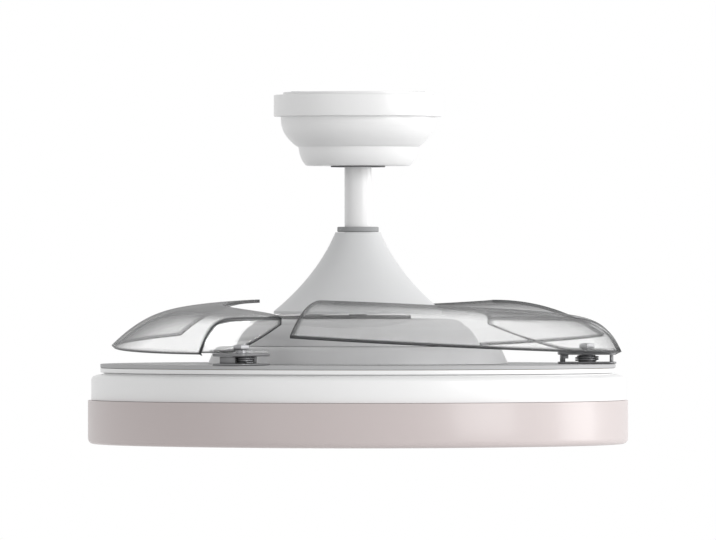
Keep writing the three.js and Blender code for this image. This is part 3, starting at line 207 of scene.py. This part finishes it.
def sprayed_coat(name, colour, shadow, roughness, metallic=0.0, coat=0.0):
    """Sprayed and baked paint: a fine orange peel, a slow change of gloss and a faint drift of tone."""
    made, shader, paint = material_of(name, roughness, metallic)
    drift = speckle(paint, 9.0, 2.0)
    blotches = speckle(paint, 140.0)
    peel = speckle(paint, 900.0)
    feed(shader, "Base Color", (drift * 0.5 + blotches * 0.25).mixed(colour, shadow))
    feed(shader, "Roughness", drift * 0.14 + (roughness - 0.07))
    bump = {"Strength": 0.05, "Distance": 0.2 * MM, "Height": peel}
    feed(shader, "Normal", paint.node("ShaderNodeBump", None, bump))
    shader.inputs["Coat Weight"].default_value = coat
    shader.inputs["Coat Roughness"].default_value = 0.12
    return made


def piece_from(name, shape, merge=0.002, sharp_over=35):
    """Closes a shape into a named piece; merge is in millimetres, and edges over the angle stay sharp."""
    bmesh.ops.remove_doubles(shape, verts=shape.verts, dist=merge * MM)
    bmesh.ops.recalc_face_normals(shape, faces=shape.faces)
    mesh = bpy.data.meshes.new(name)
    shape.to_mesh(mesh)
    shape.free()
    mesh.shade_smooth()
    if sharp_over:
        mesh.set_sharp_from_angle(angle=math.radians(sharp_over))
    made = bpy.data.objects.new(name, mesh)
    scene.collection.objects.link(made)
    return made


def turned_shape(outline, sides, rounding=0, steps=3):
    """Turns an outline of (radius, height) in millimetres about the upright axis, its corners rounded.

    The outline is closed, except between two points on the axis.
    """
    shape = bmesh.new()
    corners = [shape.verts.new((radius * MM, 0, height * MM)) for radius, height in outline]
    for first, second in zip(corners, corners[1:] + corners[:1]):
        if max(first.co.x, second.co.x) > 0:
            shape.edges.new((first, second))
    if rounding:
        bmesh.ops.bevel(
            shape, geom=[corner for corner in corners if corner.co.x > 0], offset=rounding * MM,
            offset_type="OFFSET", segments=steps, profile=0.5, affect="VERTICES", material=-1,
            clamp_overlap=True,
        )
    bmesh.ops.spin(
        shape, geom=shape.verts[:] + shape.edges[:], cent=(0, 0, 0), axis=(0, 0, 1), angle=math.tau,
        steps=sides, use_merge=True, use_duplicate=False,
    )
    return shape


def turned(name, outline, sides=160, rounding=0.5, steps=3):
    return piece_from(name, turned_shape(outline, sides, rounding, steps))


def dress(made, body, slot, material, *nodes):
    """Gives a piece its material and body, and names the solids that it stands for. The slot is not used."""
    made.data.materials.clear()
    made.data.materials.append(material)
    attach(made, body)
    if nodes:
        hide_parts(*nodes)


def extent(node):
    """A node's half width and its lowest and highest heights, in millimetres."""
    low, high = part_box(node)
    return (high[0] - low[0]) / 2 / MM, low[2] / MM, high[2] / MM


def curve(start, bend, end, steps):
    """Points of a quadratic curve, without its first one."""
    points = []
    for i in range(1, steps + 1):
        share = i / steps
        weights = ((1 - share) ** 2, 2 * share * (1 - share), share**2)
        points.append(tuple(sum(w * v for w, v in zip(weights, values)) for values in zip(start, bend, end)))
    return points


def walled(line, wall):
    """Closes an outer line, listed from its top to its foot, with a parallel line one wall inside it."""
    inner = []
    for i, (radius, height) in enumerate(line):
        before = line[max(i - 1, 0)]
        after = line[min(i + 1, len(line) - 1)]
        along = Vector((after[0] - before[0], after[1] - before[1])).normalized()
        inside = Vector((along.y, -along.x))
        if i in (0, len(line) - 1):
            steep = abs(inside.x) > abs(inside.y)
            inside = Vector((1 / inside.x, 0)) if steep else Vector((0, 1 / inside.y))
        inner.append((radius + inside.x * wall, height + inside.y * wall))
    return line + inner[::-1]


white_coat = sprayed_coat("white_coat", (0.90, 0.90, 0.90), (0.86, 0.86, 0.86), 0.38, coat=0.15)
_, canopy_foot, canopy_top = extent("canopy")
canopy_wall = 1.6
lip_radius, barrel_radius, rod_opening = 69.4, 71.5, 23.0
barrel_foot = (barrel_radius, canopy_top - 26.0)
waist = (60.5, canopy_top - 47.0)
step_foot = (54.4, canopy_top - 55.5)
canopy_line = [
    (lip_radius, canopy_top), (lip_radius, canopy_top - 4.0), (barrel_radius, canopy_top - 6.0), barrel_foot,
    *curve(barrel_foot, (70.9, canopy_top - 38.0), waist, 9),
    *curve(waist, (58.0, canopy_top - 49.6), (55.2, canopy_top - 50.6), 3),
    step_foot,
    *curve(step_foot, (53.2, canopy_top - 61.0), (50.2, canopy_foot + 2.6), 5),
    (48.6, canopy_foot + 0.6), (47.2, canopy_foot), (rod_opening, canopy_foot),
]
canopy = turned("canopy_shell", walled(canopy_line, canopy_wall), rounding=0.35)
dress(canopy, "mount", "white_coat", white_coat, "canopy")

# ---- Grommet ----
# A moulded ring of dark rubber with a groove round it, pressed into the hole in the canopy's foot. Its
# dark colour is also painted shadow for the gap round the rod, which swings clear inside it.
# Dark rubber, its darkness also painted shadow in the gap at the grommet and under the cone.
rubber_and_painted_shade = sprayed_coat("grommet_rubber_and_shade", (0.16, 0.16, 0.165), (0.12, 0.12, 0.125), 0.65)
grommet_bore, groove_radius, grommet_radius = 21.6, 22.7, 25.2
grommet_foot, groove_foot = canopy_foot - 1.3, canopy_foot - 0.1
groove_top, grommet_top = canopy_foot + 1.7, canopy_foot + 2.8
grommet_outline = [
    (grommet_bore, grommet_foot), (grommet_radius, grommet_foot), (grommet_radius, groove_foot),
    (groove_radius, groove_foot), (groove_radius, groove_top), (grommet_radius, groove_top),
    (grommet_radius, grommet_top), (grommet_bore, grommet_top),
]
grommet = turned("canopy_grommet", grommet_outline, sides=96, rounding=0.4)
dress(grommet, "mount", "dark_plastic", rubber_and_painted_shade)

# ---- Trim ring ----
# A channel pressed from thin steel and painted with the canopy. It snaps round the canopy's rim and hides
# the heads of its two screws.
ring_radius, ring_foot, ring_top = extent("canopy_trim_ring")
ring_wall, lower_lip, upper_lip = 1.5, 71.8, 70.3
ring_inner = ring_radius - ring_wall
ring_outline = [
    (lower_lip, ring_foot), (ring_radius, ring_foot), (ring_radius, ring_top), (upper_lip, ring_top),
    (upper_lip, ring_top - ring_wall), (ring_inner, ring_top - ring_wall),
    (ring_inner, ring_foot + ring_wall), (lower_lip, ring_foot + ring_wall),
]
trim_ring = turned("trim_ring", ring_outline, rounding=1.1, steps=4)
dress(trim_ring, "mount", "white_coat", white_coat, "canopy_trim_ring")


# ---- Downrod and collar ----
# A drawn steel tube, painted white, and a moulded collar of dark rubber. The collar is pushed down the tube
# and closes the cone cover round it.
def band(inner, outer, low, high):
    """The outline of a plain ring."""
    return [(inner, low), (outer, low), (outer, high), (inner, high)]


_, rod_foot, rod_top = extent("downrod")
rod_radius, rod_wall = 12.5, 2
rod_outline = band(rod_radius - rod_wall, rod_radius, rod_foot, rod_top)
downrod = turned("downrod_tube", rod_outline, sides=96, rounding=0.4)
dress(downrod, "hanger", "white_coat", white_coat, "downrod")

collar_radius, collar_foot, collar_top = extent("rod_collar")
collar_outline = band(rod_radius + 0.3, collar_radius, collar_foot, collar_top)
collar_rubber = sprayed_coat("collar_rubber", (0.34, 0.345, 0.35), (0.29, 0.295, 0.30), 0.62)
collar = turned("collar_ring", collar_outline, sides=96, rounding=0.9, steps=4)
dress(collar, "hanger", "dark_plastic", collar_rubber, "rod_collar")

# ---- Cone cover ----
# A flared cover moulded in pale grey plastic. It slides down the rod over the motor coupling, and its flat
# roof rests there.
cone_radius, cone_lip, cone_top = extent("cone_cover")
cone_wall, roof_radius = 2.0, 21.0
cone_foot = cone_lip + 2.7
cone_line = [
    (rod_radius + 0.4, cone_top), (roof_radius, cone_top),
    *curve((roof_radius, cone_top), (37.9, cone_top - 40.2), (cone_radius, cone_foot), 22),
]
cone_coat = sprayed_coat("cone_coat", (0.70, 0.705, 0.71), (0.66, 0.665, 0.67), 0.42)
cone = turned("cone_shell", walled(cone_line, cone_wall), rounding=0)
dress(cone, "hanger", "white_coat", cone_coat, "cone_cover")

# ---- Motor cover and hub ring ----
# Two tiers of pressed steel in satin grey that turn with the motor: a domed cover, and the ring it stands
# on. A dark ring round the cover's neck, just under the cone, is painted shadow where the cone shades it.
cover_radius, cover_foot, cover_top = extent("motor_cover")
cover_height = cover_top - cover_foot
cover_wall, shaft_opening, neck_radius = 1.8, 14.5, 46.4
shoulder = cover_top - 2.8
shoulder_end = (82.0, shoulder)
dome_edge = (98.0, cover_top - cover_height * 0.30)
dome_bend = (cover_radius - 5.0, cover_foot + cover_height * 0.5)
cover_line = [
    (shaft_opening, cover_top), (neck_radius, cover_top), (neck_radius, shoulder), shoulder_end,
    *curve(shoulder_end, (94.0, shoulder), dome_edge, 8),
    *curve(dome_edge, dome_bend, (cover_radius, cover_foot), 10),
]
grey_coat = sprayed_coat("grey_coat", (0.53, 0.53, 0.535), (0.49, 0.49, 0.495), 0.42, metallic=0.05)
motor_cover = turned("motor_cover_shell", walled(cover_line, cover_wall), rounding=0.3)
dress(motor_cover, "rotor", "grey_coat", grey_coat, "motor_cover")

# Painted shadow: a dark band round the cover's neck, under the cone.
painted_shadow_ring_outline = band(neck_radius + 0.1, neck_radius + 2.6, shoulder + 0.1, cover_top + 0.4)
painted_shadow_ring = turned("painted_shadow_ring", painted_shadow_ring_outline, sides=120, rounding=0.4)
dress(painted_shadow_ring, "rotor", "dark_plastic", rubber_and_painted_shade)

hub_radius, hub_foot, hub_top = extent("hub_ring")
hub_shelf = (126.0, hub_top)
hub_line = [
    (107.0, hub_top), hub_shelf,
    *curve(hub_shelf, (132.0, hub_top), (134.0, hub_top - 5.0), 6),
    (hub_radius, hub_foot),
]
hub_ring = turned("hub_ring_shell", walled(hub_line, cover_wall), rounding=0.3)
dress(hub_ring, "rotor", "grey_coat", grey_coat, "hub_ring")

# ---- Turntable ----
# A dark plate pressed from steel, with a turned-down rim, over a pressed white tray. Both turn with the
# motor, and the gear ring that keeps the blades in step lies between them.
deck_radius, deck_foot, deck_top = extent("turntable_deck")
deck_wall, deck_opening = 1.4, 104.0
deck_outline = [
    (deck_opening, deck_top), (deck_radius, deck_top), (deck_radius, deck_foot),
    (deck_radius - deck_wall, deck_foot), (deck_radius - deck_wall, deck_top - deck_wall),
    (deck_opening, deck_top - deck_wall),
]
deck_coat = sprayed_coat("deck_coat", (0.47, 0.47, 0.475), (0.43, 0.43, 0.435), 0.62)
deck = turned("turntable_plate", deck_outline, sides=216, rounding=0.45)
dress(deck, "rotor", "dark_steel", deck_coat, "turntable_deck")

tray_radius, tray_foot, tray_top = extent("turntable_tray")
tray_wall, tray_opening = 1.2, 30.0
tray_inner = tray_radius - tray_wall
tray_floor = tray_foot + tray_wall
tray_rim = deck_foot - 0.3
deck_seat = deck_top - 1.7
rail_inner, rail_outer, rail_top = 173.6, 175.0, tray_floor + 4.0
tray_outline = [
    (tray_opening, tray_top), (94.0, tray_top), (98.0, deck_seat), (112.0, deck_seat), (116.0, tray_floor),
    (rail_inner, tray_floor), (rail_inner, rail_top), (rail_outer, rail_top), (rail_outer, tray_floor),
    (tray_inner, tray_floor), (tray_inner, tray_rim), (tray_radius, tray_rim), (tray_radius, tray_foot),
    (115.0, tray_foot), (111.0, deck_seat - tray_wall), (97.0, deck_seat - tray_wall),
    (93.0, tray_top - tray_wall), (tray_opening, tray_top - tray_wall),
]
tray = turned("turntable_base", tray_outline, sides=216, rounding=0.4)
dress(tray, "rotor", "white_coat", white_coat, "turntable_tray")

# ---- Lamp pan and bowl ----
# A pan pressed from white steel, with a bead and a sloped shoulder, held under the motor's hollow shaft by
# a nut. The bowl is moulded in opal acrylic, slightly pink. A twist sets its three lugs on the pan's tabs.
pan_radius, pan_foot, pan_top = extent("lamp_pan")
pan_wall, pan_opening = 1.5, 9.0
bead_radius, bead_top = tray_radius - 3.0, pan_top + 1.5
pan_shoulder = (pan_radius - 7.0, pan_top)
pan_line = [
    (pan_opening, pan_top), (bead_radius - 3.0, pan_top), (bead_radius - 2.6, bead_top),
    (bead_radius, bead_top), (bead_radius + 0.4, pan_top), pan_shoulder,
    *curve(pan_shoulder, (pan_radius - 1.0, pan_top - 1.2), (pan_radius, pan_top - 4.0), 5),
    (pan_radius, pan_foot),
]
pan = turned("lamp_pan_shell", walled(pan_line, pan_wall), sides=216, rounding=0.3)
dress(pan, "hanger", "white_coat", white_coat, "lamp_pan")

bowl_radius, bowl_foot, neck_top = extent("diffuser")
bowl_wall, bowl_neck = 2.5, 238.0
bowl_top = neck_top - 8.0
bowl_rim = bowl_foot + 3.0
bowl_fillet, inner_fillet = 6.0, 8.0
bowl_inner, neck_inner = bowl_radius - bowl_wall, bowl_neck - bowl_wall
bowl_floor, inner_rim, bowl_shelf = bowl_foot + bowl_wall, bowl_rim + bowl_wall, bowl_top - bowl_wall
fillet_top, fillet_end = (bowl_radius, bowl_rim + bowl_fillet), (bowl_radius - bowl_fillet, bowl_rim)
inner_start, inner_top = (bowl_radius - inner_fillet, inner_rim), (bowl_inner, bowl_rim + inner_fillet)
bowl_outline = [
    (bowl_radius, bowl_top), fillet_top,
    *curve(fillet_top, (bowl_radius, bowl_rim), fillet_end, 8),
    *curve(fillet_end, (bowl_radius * 0.5, bowl_foot), (0, bowl_foot), 12),
    (0, bowl_floor),
    *curve((0, bowl_floor), (bowl_radius * 0.5, bowl_floor), inner_start, 12),
    *curve(inner_start, (bowl_inner, inner_rim), inner_top, 6),
    (bowl_inner, bowl_shelf), (neck_inner, bowl_shelf), (neck_inner, neck_top),
    (bowl_neck, neck_top), (bowl_neck, bowl_top),
]
opal, opal_shader, opal_paint = material_of("opal_acrylic", 0.42)
cloud = speckle(opal_paint, 5.0, 2.0)
feed(opal_shader, "Base Color", cloud.mixed((0.585, 0.520, 0.512), (0.565, 0.500, 0.493)))
feed(opal_shader, "Roughness", cloud * 0.10 + 0.36)
opal_shader.inputs["Coat Weight"].default_value = 0.2
opal_shader.inputs["Coat Roughness"].default_value = 0.15
bowl = turned("opal_bowl", bowl_outline, sides=216, rounding=0.25, steps=2)
dress(bowl, "diffuser", "opal_diffuser", opal)

# ---- Blades ----
# Clear acrylic, vacuum formed: each starts at an upright end wall, with a flat foot over its shaft, and
# arches over the turntable, rising to its inner edge. The cut edges and the tight bends carry painted shade.
blade_count = 3
stations = [(i + 1, math.tau * i / blade_count) for i in range(blade_count)]
shaft_inset = 26.5
shaft_circle = deck_radius - shaft_inset
foot_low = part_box("blade_root_plate_1")[1].z / MM + 0.3
blade_start, blade_end = 5.5, 105.0
blade_thickness, blade_depth = 3.0, 92
arch_height, tip_rise, inner_drift = 31.8, 16.2, 10
tip_rounding, root_rounding = 2.15, 9.0
edge_arc_radius, edge_arc_offset, edge_arc_turn = deck_radius + 32.35, 42.87, 118.2


def outer_edge(psi):
    """Radius of the outer edge, psi degrees on from the shaft. Its arc has a centre off the fan's axis."""
    angle = math.radians(psi + edge_arc_turn)
    reach = math.sqrt(edge_arc_radius**2 - (edge_arc_offset * math.sin(angle)) ** 2)
    return edge_arc_offset * math.cos(angle) + reach


def blade_point(psi, chord):
    """Radius and height of the upper surface, from 0 at the outer edge to 1 at the inner edge."""
    share = max(0.0, (psi - blade_start) / (blade_end - blade_start))
    outer = outer_edge(psi)
    inner = shaft_circle - blade_depth + inner_drift * psi / blade_end
    rounding = tip_rounding + (root_rounding - tip_rounding) * (1 - share) ** 3
    climb = arch_height + tip_rise * (share**0.5 - share**1.6)
    height = foot_low + tip_rise * share**1.6 + climb * (1 - (1 - chord) ** rounding)
    return outer + (inner - outer) * chord, height


def end_wall_foot(radius):
    """Height of the end wall's lower edge, which sweeps from the inner corner down to the foot."""
    corner_height, landing = 25.6, shaft_circle - 13.0
    share = max(0.0, (landing - radius) / (landing - (shaft_circle - blade_depth)))
    return foot_low + 0.2 + corner_height * share**1.3


# Clear acrylic gives way to painted shade at its marked lines and a painted dark reflection at a slant.
clear, clear_shader, clear_paint = material_of("clear_acrylic", 0.03)
clear_shader.inputs["Base Color"].default_value = (0.98, 0.985, 0.985, 1)
clear_shader.inputs["IOR"].default_value = 1.47
clear_shader.inputs["Transmission Weight"].default_value = 1.0
clear_shader.inputs["Alpha"].default_value = 0.16
feed(clear_shader, "Roughness", speckle(clear_paint, 30.0) * 0.03 + 0.015)
ripple = {"Strength": 0.08, "Distance": MM, "Height": speckle(clear_paint, 14.0, 1.0)}
feed(clear_shader, "Normal", clear_paint.node("ShaderNodeBump", None, ripple))
# The dark shader that the painted shade and the painted dark reflection mix in.
dark_values = {"Base Color": (0.03, 0.031, 0.033, 1), "Roughness": 0.35, "Specular IOR Level": 0.15}
dark_edge = clear_paint.node("ShaderNodeBsdfPrincipled", None, dark_values)
# Painted shade along the cut edges and the fold, read from the 'edge' layer.
painted_edge_shade = clear_paint.node("ShaderNodeAttribute", {"attribute_name": "edge"}, out="Fac")
# Painted dark reflection where the sheet is seen at a slant.
slant = clear_paint.node("ShaderNodeLayerWeight", None, {"Blend": 0.5}, out="Facing")
painted_slant_stops = ((0.62, 0.0), (0.80, 0.24), (0.90, 0.54), (0.965, 0.92))
painted_slant_shade = clear_paint.node("ShaderNodeValToRGB", {"stops": painted_slant_stops}, {"Fac": slant})
dark = clear_paint.maths("MAXIMUM", painted_edge_shade, painted_slant_shade)
clear_sheet = Shade(clear.node_tree, clear_shader.outputs["BSDF"])
sheet_shade = clear_paint.node("ShaderNodeMixShader", None, {0: dark, 1: clear_sheet, 2: dark_edge})
feed(clear.node_tree.nodes["Material Output"], "Surface", sheet_shade)


def blade_sheet(name, azimuth):
    """One sheet from its tip to its fold and down the end wall, with painted shade along its edges and fold.
    """
    span_steps, chord_steps, wall_steps = 84, 30, 8
    rows = span_steps + wall_steps
    edge_band, fold_band = 2.0, 3.4

    def sheet_place(along, across):
        chord = (across / chord_steps) ** 1.5
        if along <= span_steps:
            psi = blade_end + (blade_start - blade_end) * along / span_steps
            radius, height = blade_point(psi, chord)
        else:
            psi = blade_start
            radius, top = blade_point(psi, chord)
            share = (along - span_steps) / wall_steps
            height = top + (min(end_wall_foot(radius), top) - top) * share
        angle = math.radians(psi)
        return Vector((radius * math.cos(angle), -radius * math.sin(angle), height))

    shape = bmesh.new()
    bmesh.ops.create_grid(shape, x_segments=rows, y_segments=chord_steps, size=1)
    # The 'edge' layer holds painted shade along the cut edges and the fold.
    edge = shape.verts.layers.float.new("edge")
    turn = Matrix.Rotation(azimuth, 3, "Z")
    for vert in shape.verts:
        along = round((vert.co.x + 1) / 2 * rows)
        across = round((vert.co.y + 1) / 2 * chord_steps)
        here = sheet_place(along, across)
        # The nearest place on each painted shade line, how far it spreads, and how dark it is: the outer
        # edge, the inner edge, the tip, the end wall's foot and the fold.
        lines = [
            (along, 0, edge_band, 0.9),
            (along, chord_steps, edge_band, 0.65),
            (0, across, edge_band, 0.75),
            (rows, across, edge_band, 0.9),
            (span_steps, across, fold_band, 1.0),
        ]
        vert[edge] = max(
            max(0.0, 1 - (here - sheet_place(row, column)).length / spread) * tone
            for row, column, spread, tone in lines
        )
        vert.co = turn @ here * MM
    made = piece_from(name, shape, merge=0.02, sharp_over=None)
    wall = made.modifiers.new("wall", "SOLIDIFY")
    wall.thickness = blade_thickness * MM
    wall.offset = -1 if made.data.polygons[0].normal.z > 0 else 1
    wall.use_even_offset = True
    return made


def is_level(edge):
    return abs(edge.verts[0].co.z - edge.verts[1].co.z) < 0.1 * MM


def sharp_edges(shape):
    """Edges that bend by more than one radian."""
    return [edge for edge in shape.edges if edge.calc_face_angle(0) > 1]


def round_off(shape, edges, offset, segments=2):
    bmesh.ops.bevel(
        shape, geom=edges, offset=offset * MM, segments=segments, profile=0.5, affect="EDGES", material=-1
    )


def plate(along, across, heights, corner, rim):
    """A flat plate between three pairs of limits from the shaft, with rounded corners and softened rims."""
    limits = (along, across, heights)
    shape = bmesh.new()
    bmesh.ops.create_cube(shape, size=1)
    bmesh.ops.scale(shape, verts=shape.verts, vec=Vector([high - low for low, high in limits]) * MM)
    bmesh.ops.translate(shape, verts=shape.verts, vec=Vector([high + low for low, high in limits]) / 2 * MM)
    round_off(shape, [edge for edge in shape.edges if not is_level(edge)], corner, segments=8)
    round_off(shape, [edge for edge in sharp_edges(shape) if is_level(edge)], rim)
    return shape


def at_station(name, shape, azimuth):
    """Moves a shape made about the upright axis to its blade's shaft."""
    bmesh.ops.translate(shape, verts=shape.verts, vec=(shaft_circle * MM, 0, 0))
    bmesh.ops.rotate(shape, verts=shape.verts, cent=(0, 0, 0), matrix=Matrix.Rotation(azimuth, 3, "Z"))
    return piece_from(name, shape)


foot_along, foot_across = (-25, shaft_inset - 1), (-20.5, 17.5)
for number, azimuth in stations:
    sheet = blade_sheet(f"blade_sheet_{number}", azimuth)
    foot = plate(foot_along, foot_across, (foot_low, foot_low + blade_thickness), corner=7, rim=0.6)
    foot = at_station(f"blade_foot_{number}", foot, azimuth)
    for made in (sheet, foot):
        dress(made, f"blade_arm_{number}", "clear_blade", clear, f"blade_{number}")

# ---- Blade pivots ----
# Each blade's shaft turns in a pressed steel housing: a base with a boss, a post and a stop wall. A torsion
# spring of round wire is wound about the boss. The root plate over it carries the blade's foot, under a nut.
dark_metal = sprayed_coat("dark_steel", (0.20, 0.20, 0.205), (0.16, 0.16, 0.165), 0.4, metallic=0.6)
steel = sprayed_coat("bright_steel", (0.36, 0.36, 0.37), (0.30, 0.30, 0.31), 0.40, metallic=1.0)


def add_to(shape, made):
    joined = bpy.data.meshes.new("joined")
    made.to_mesh(joined)
    made.free()
    shape.from_mesh(joined)
    bpy.data.meshes.remove(joined)


def add_post(shape, x, radius, heights, sides, rim, hole=0):
    """Adds an upright post, its two rims softened, or a sleeve where a hole's radius is given."""
    low, high = heights
    if hole:
        made = turned_shape(band(hole, radius, low, high), sides)
    else:
        made = bmesh.new()
        bmesh.ops.create_cone(
            made, cap_ends=True, segments=sides, radius1=radius * MM, radius2=radius * MM,
            depth=(high - low) * MM,
        )
        bmesh.ops.translate(made, verts=made.verts, vec=(0, 0, (high + low) / 2 * MM))
    bmesh.ops.recalc_face_normals(made, faces=made.faces)
    round_off(made, [edge for edge in sharp_edges(made) if is_level(edge)], rim)
    bmesh.ops.translate(made, verts=made.verts, vec=(x * MM, 0, 0))
    add_to(shape, made)


def add_bent_wall(shape, inner, outer, angles, heights, rim):
    """Adds a wall bent about the shaft, between two angles in degrees."""
    start, end = (math.radians(angle) for angle in angles)
    turn = Matrix.Rotation(start, 3, "Z")
    made = bmesh.new()
    corners = [made.verts.new(turn @ Vector((r, 0, z)) * MM) for r, z in band(inner, outer, *heights)]
    face = made.faces.new(corners)
    bmesh.ops.spin(
        made, geom=[face] + face.verts[:] + face.edges[:], cent=(0, 0, 0), axis=(0, 0, 1), angle=end - start,
        steps=16, use_duplicate=False,
    )
    bmesh.ops.recalc_face_normals(made, faces=made.faces)
    round_off(made, sharp_edges(made), rim)
    add_to(shape, made)


def wound_spring(turns, radius, wire, pitch, leg, first_height):
    """A coil of round wire, begun a quarter turn on from the X axis, with a straight leg at each end."""
    made = bmesh.new()
    steps = turns * 40
    ring = bmesh.ops.create_circle(made, segments=12, radius=wire * MM)["verts"]
    bmesh.ops.rotate(made, verts=ring, cent=(0, 0, 0), matrix=Matrix.Rotation(math.pi / 2, 3, "X"))
    bmesh.ops.translate(made, verts=ring, vec=(radius * MM, 0, first_height * MM))
    bmesh.ops.rotate(made, verts=ring, cent=(0, 0, 0), matrix=Matrix.Rotation(math.pi / 2, 3, "Z"))
    first = made.edges[:]
    wound = bmesh.ops.spin(
        made, geom=ring + first, cent=(0, 0, 0), axis=(0, 0, 1), dvec=(0, 0, pitch * turns / steps * MM),
        angle=math.tau * turns, steps=steps, use_merge=False, use_duplicate=False,
    )
    last = [e for e in wound["geom_last"] if isinstance(e, bmesh.types.BMEdge)]
    for edges, reach in ((first, leg), (last, -leg)):
        pulled = bmesh.ops.extrude_edge_only(made, edges=edges)["geom"]
        ends = [v for v in pulled if isinstance(v, bmesh.types.BMVert)]
        bmesh.ops.translate(made, verts=ends, vec=(reach * MM, 0, 0))
    bmesh.ops.holes_fill(made, edges=[e for e in made.edges if e.is_boundary], sides=0)
    return made


_, housing_foot, housing_top = extent("pivot_housing_1")
housing_floor = housing_foot + 1.7
upright = (housing_floor, housing_top)
plate_along, plate_across, plate_corner = (-27.0, 27.0), (-17.5, 17.5), 8
post_arm, boss_radius, boss_bore = 22.5, 8.0, 5.4
stop_angles, ear_angles = (-22.85, 17.15), (188.15, 201.15)
spring_foot = housing_floor + 1.0
plate_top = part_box("blade_root_plate_1")[1].z / MM
plate_foot = plate_top - 2.5
ear_foot = plate_foot - 3.5
shaft_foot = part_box("pivot_shaft_1")[0].z / MM
nut_foot = foot_low + blade_thickness + 0.3
for number, azimuth in stations:
    housing = plate(plate_along, plate_across, (housing_foot, housing_floor), plate_corner, rim=0.4)
    add_post(housing, 0, boss_radius, upright, sides=48, rim=0.3, hole=boss_bore)
    add_post(housing, -post_arm, 2.5, upright, sides=32, rim=0.3)
    add_bent_wall(housing, post_arm, post_arm + 2.0, stop_angles, upright, rim=0.25)
    housing = at_station(f"pivot_housing_shell_{number}", housing, azimuth)
    dress(housing, "rotor", "dark_steel", dark_metal, f"pivot_housing_{number}")

    spring = wound_spring(turns=2, radius=10.4, wire=0.7, pitch=1.95, leg=9.0, first_height=spring_foot)
    spring = at_station(f"torsion_spring_{number}", spring, azimuth)
    dress(spring, "rotor", "bright_steel", steel, f"return_spring_{number}")

    arm = f"blade_arm_{number}"
    root_plate = plate(plate_along, plate_across, (plate_foot, plate_top), plate_corner, rim=0.5)
    add_bent_wall(root_plate, post_arm - 4.0, post_arm + 2.5, ear_angles, (ear_foot, plate_foot), rim=0.25)
    root_plate = at_station(f"root_plate_{number}", root_plate, azimuth)
    dress(root_plate, arm, "dark_steel", dark_metal, f"blade_root_plate_{number}")

    shaft = bmesh.new()
    add_post(shaft, 0, 5.0, (shaft_foot, nut_foot + 4.6), sides=40, rim=0.5)
    add_post(shaft, 0, 8.0, (nut_foot, nut_foot + 4.0), sides=6, rim=0.5)
    shaft = at_station(f"shaft_and_nut_{number}", shaft, azimuth)
    dress(shaft, arm, "bright_steel", steel, f"pivot_shaft_{number}")

# ---- Everything behind the covers ----
# Bracket, ball, coupling, motor, gears, board and driver: cast, stamped, turned and moulded pieces that are
# bolted or pressed together. They keep their solids and take the finish of the real material.
finish_of = {
    "white_coat": white_coat,
    "grey_coat": grey_coat,
    "opal_diffuser": opal,
    "clear_blade": clear,
    "dark_steel": dark_metal,
    "bright_steel": steel,
    "white_plastic": sprayed_coat("white_plastic", (0.80, 0.80, 0.78), (0.76, 0.76, 0.74), 0.5),
    "dark_plastic": sprayed_coat("dark_plastic", (0.05, 0.05, 0.052), (0.035, 0.035, 0.037), 0.5),
    "gear_brass": sprayed_coat("gear_brass", (0.72, 0.55, 0.28), (0.62, 0.46, 0.22), 0.34, metallic=1.0),
    "copper_coils": sprayed_coat("copper_coils", (0.62, 0.28, 0.13), (0.45, 0.19, 0.08), 0.38, metallic=0.8),
    "board_white": sprayed_coat("board_white", (0.85, 0.86, 0.84), (0.80, 0.81, 0.79), 0.45),
}
for part in frame["record"]["subparts"]:
    node = frame["nodes"][part["node"]]
    node.data.materials.clear()
    node.data.materials.append(finish_of[part["material_slot"]])
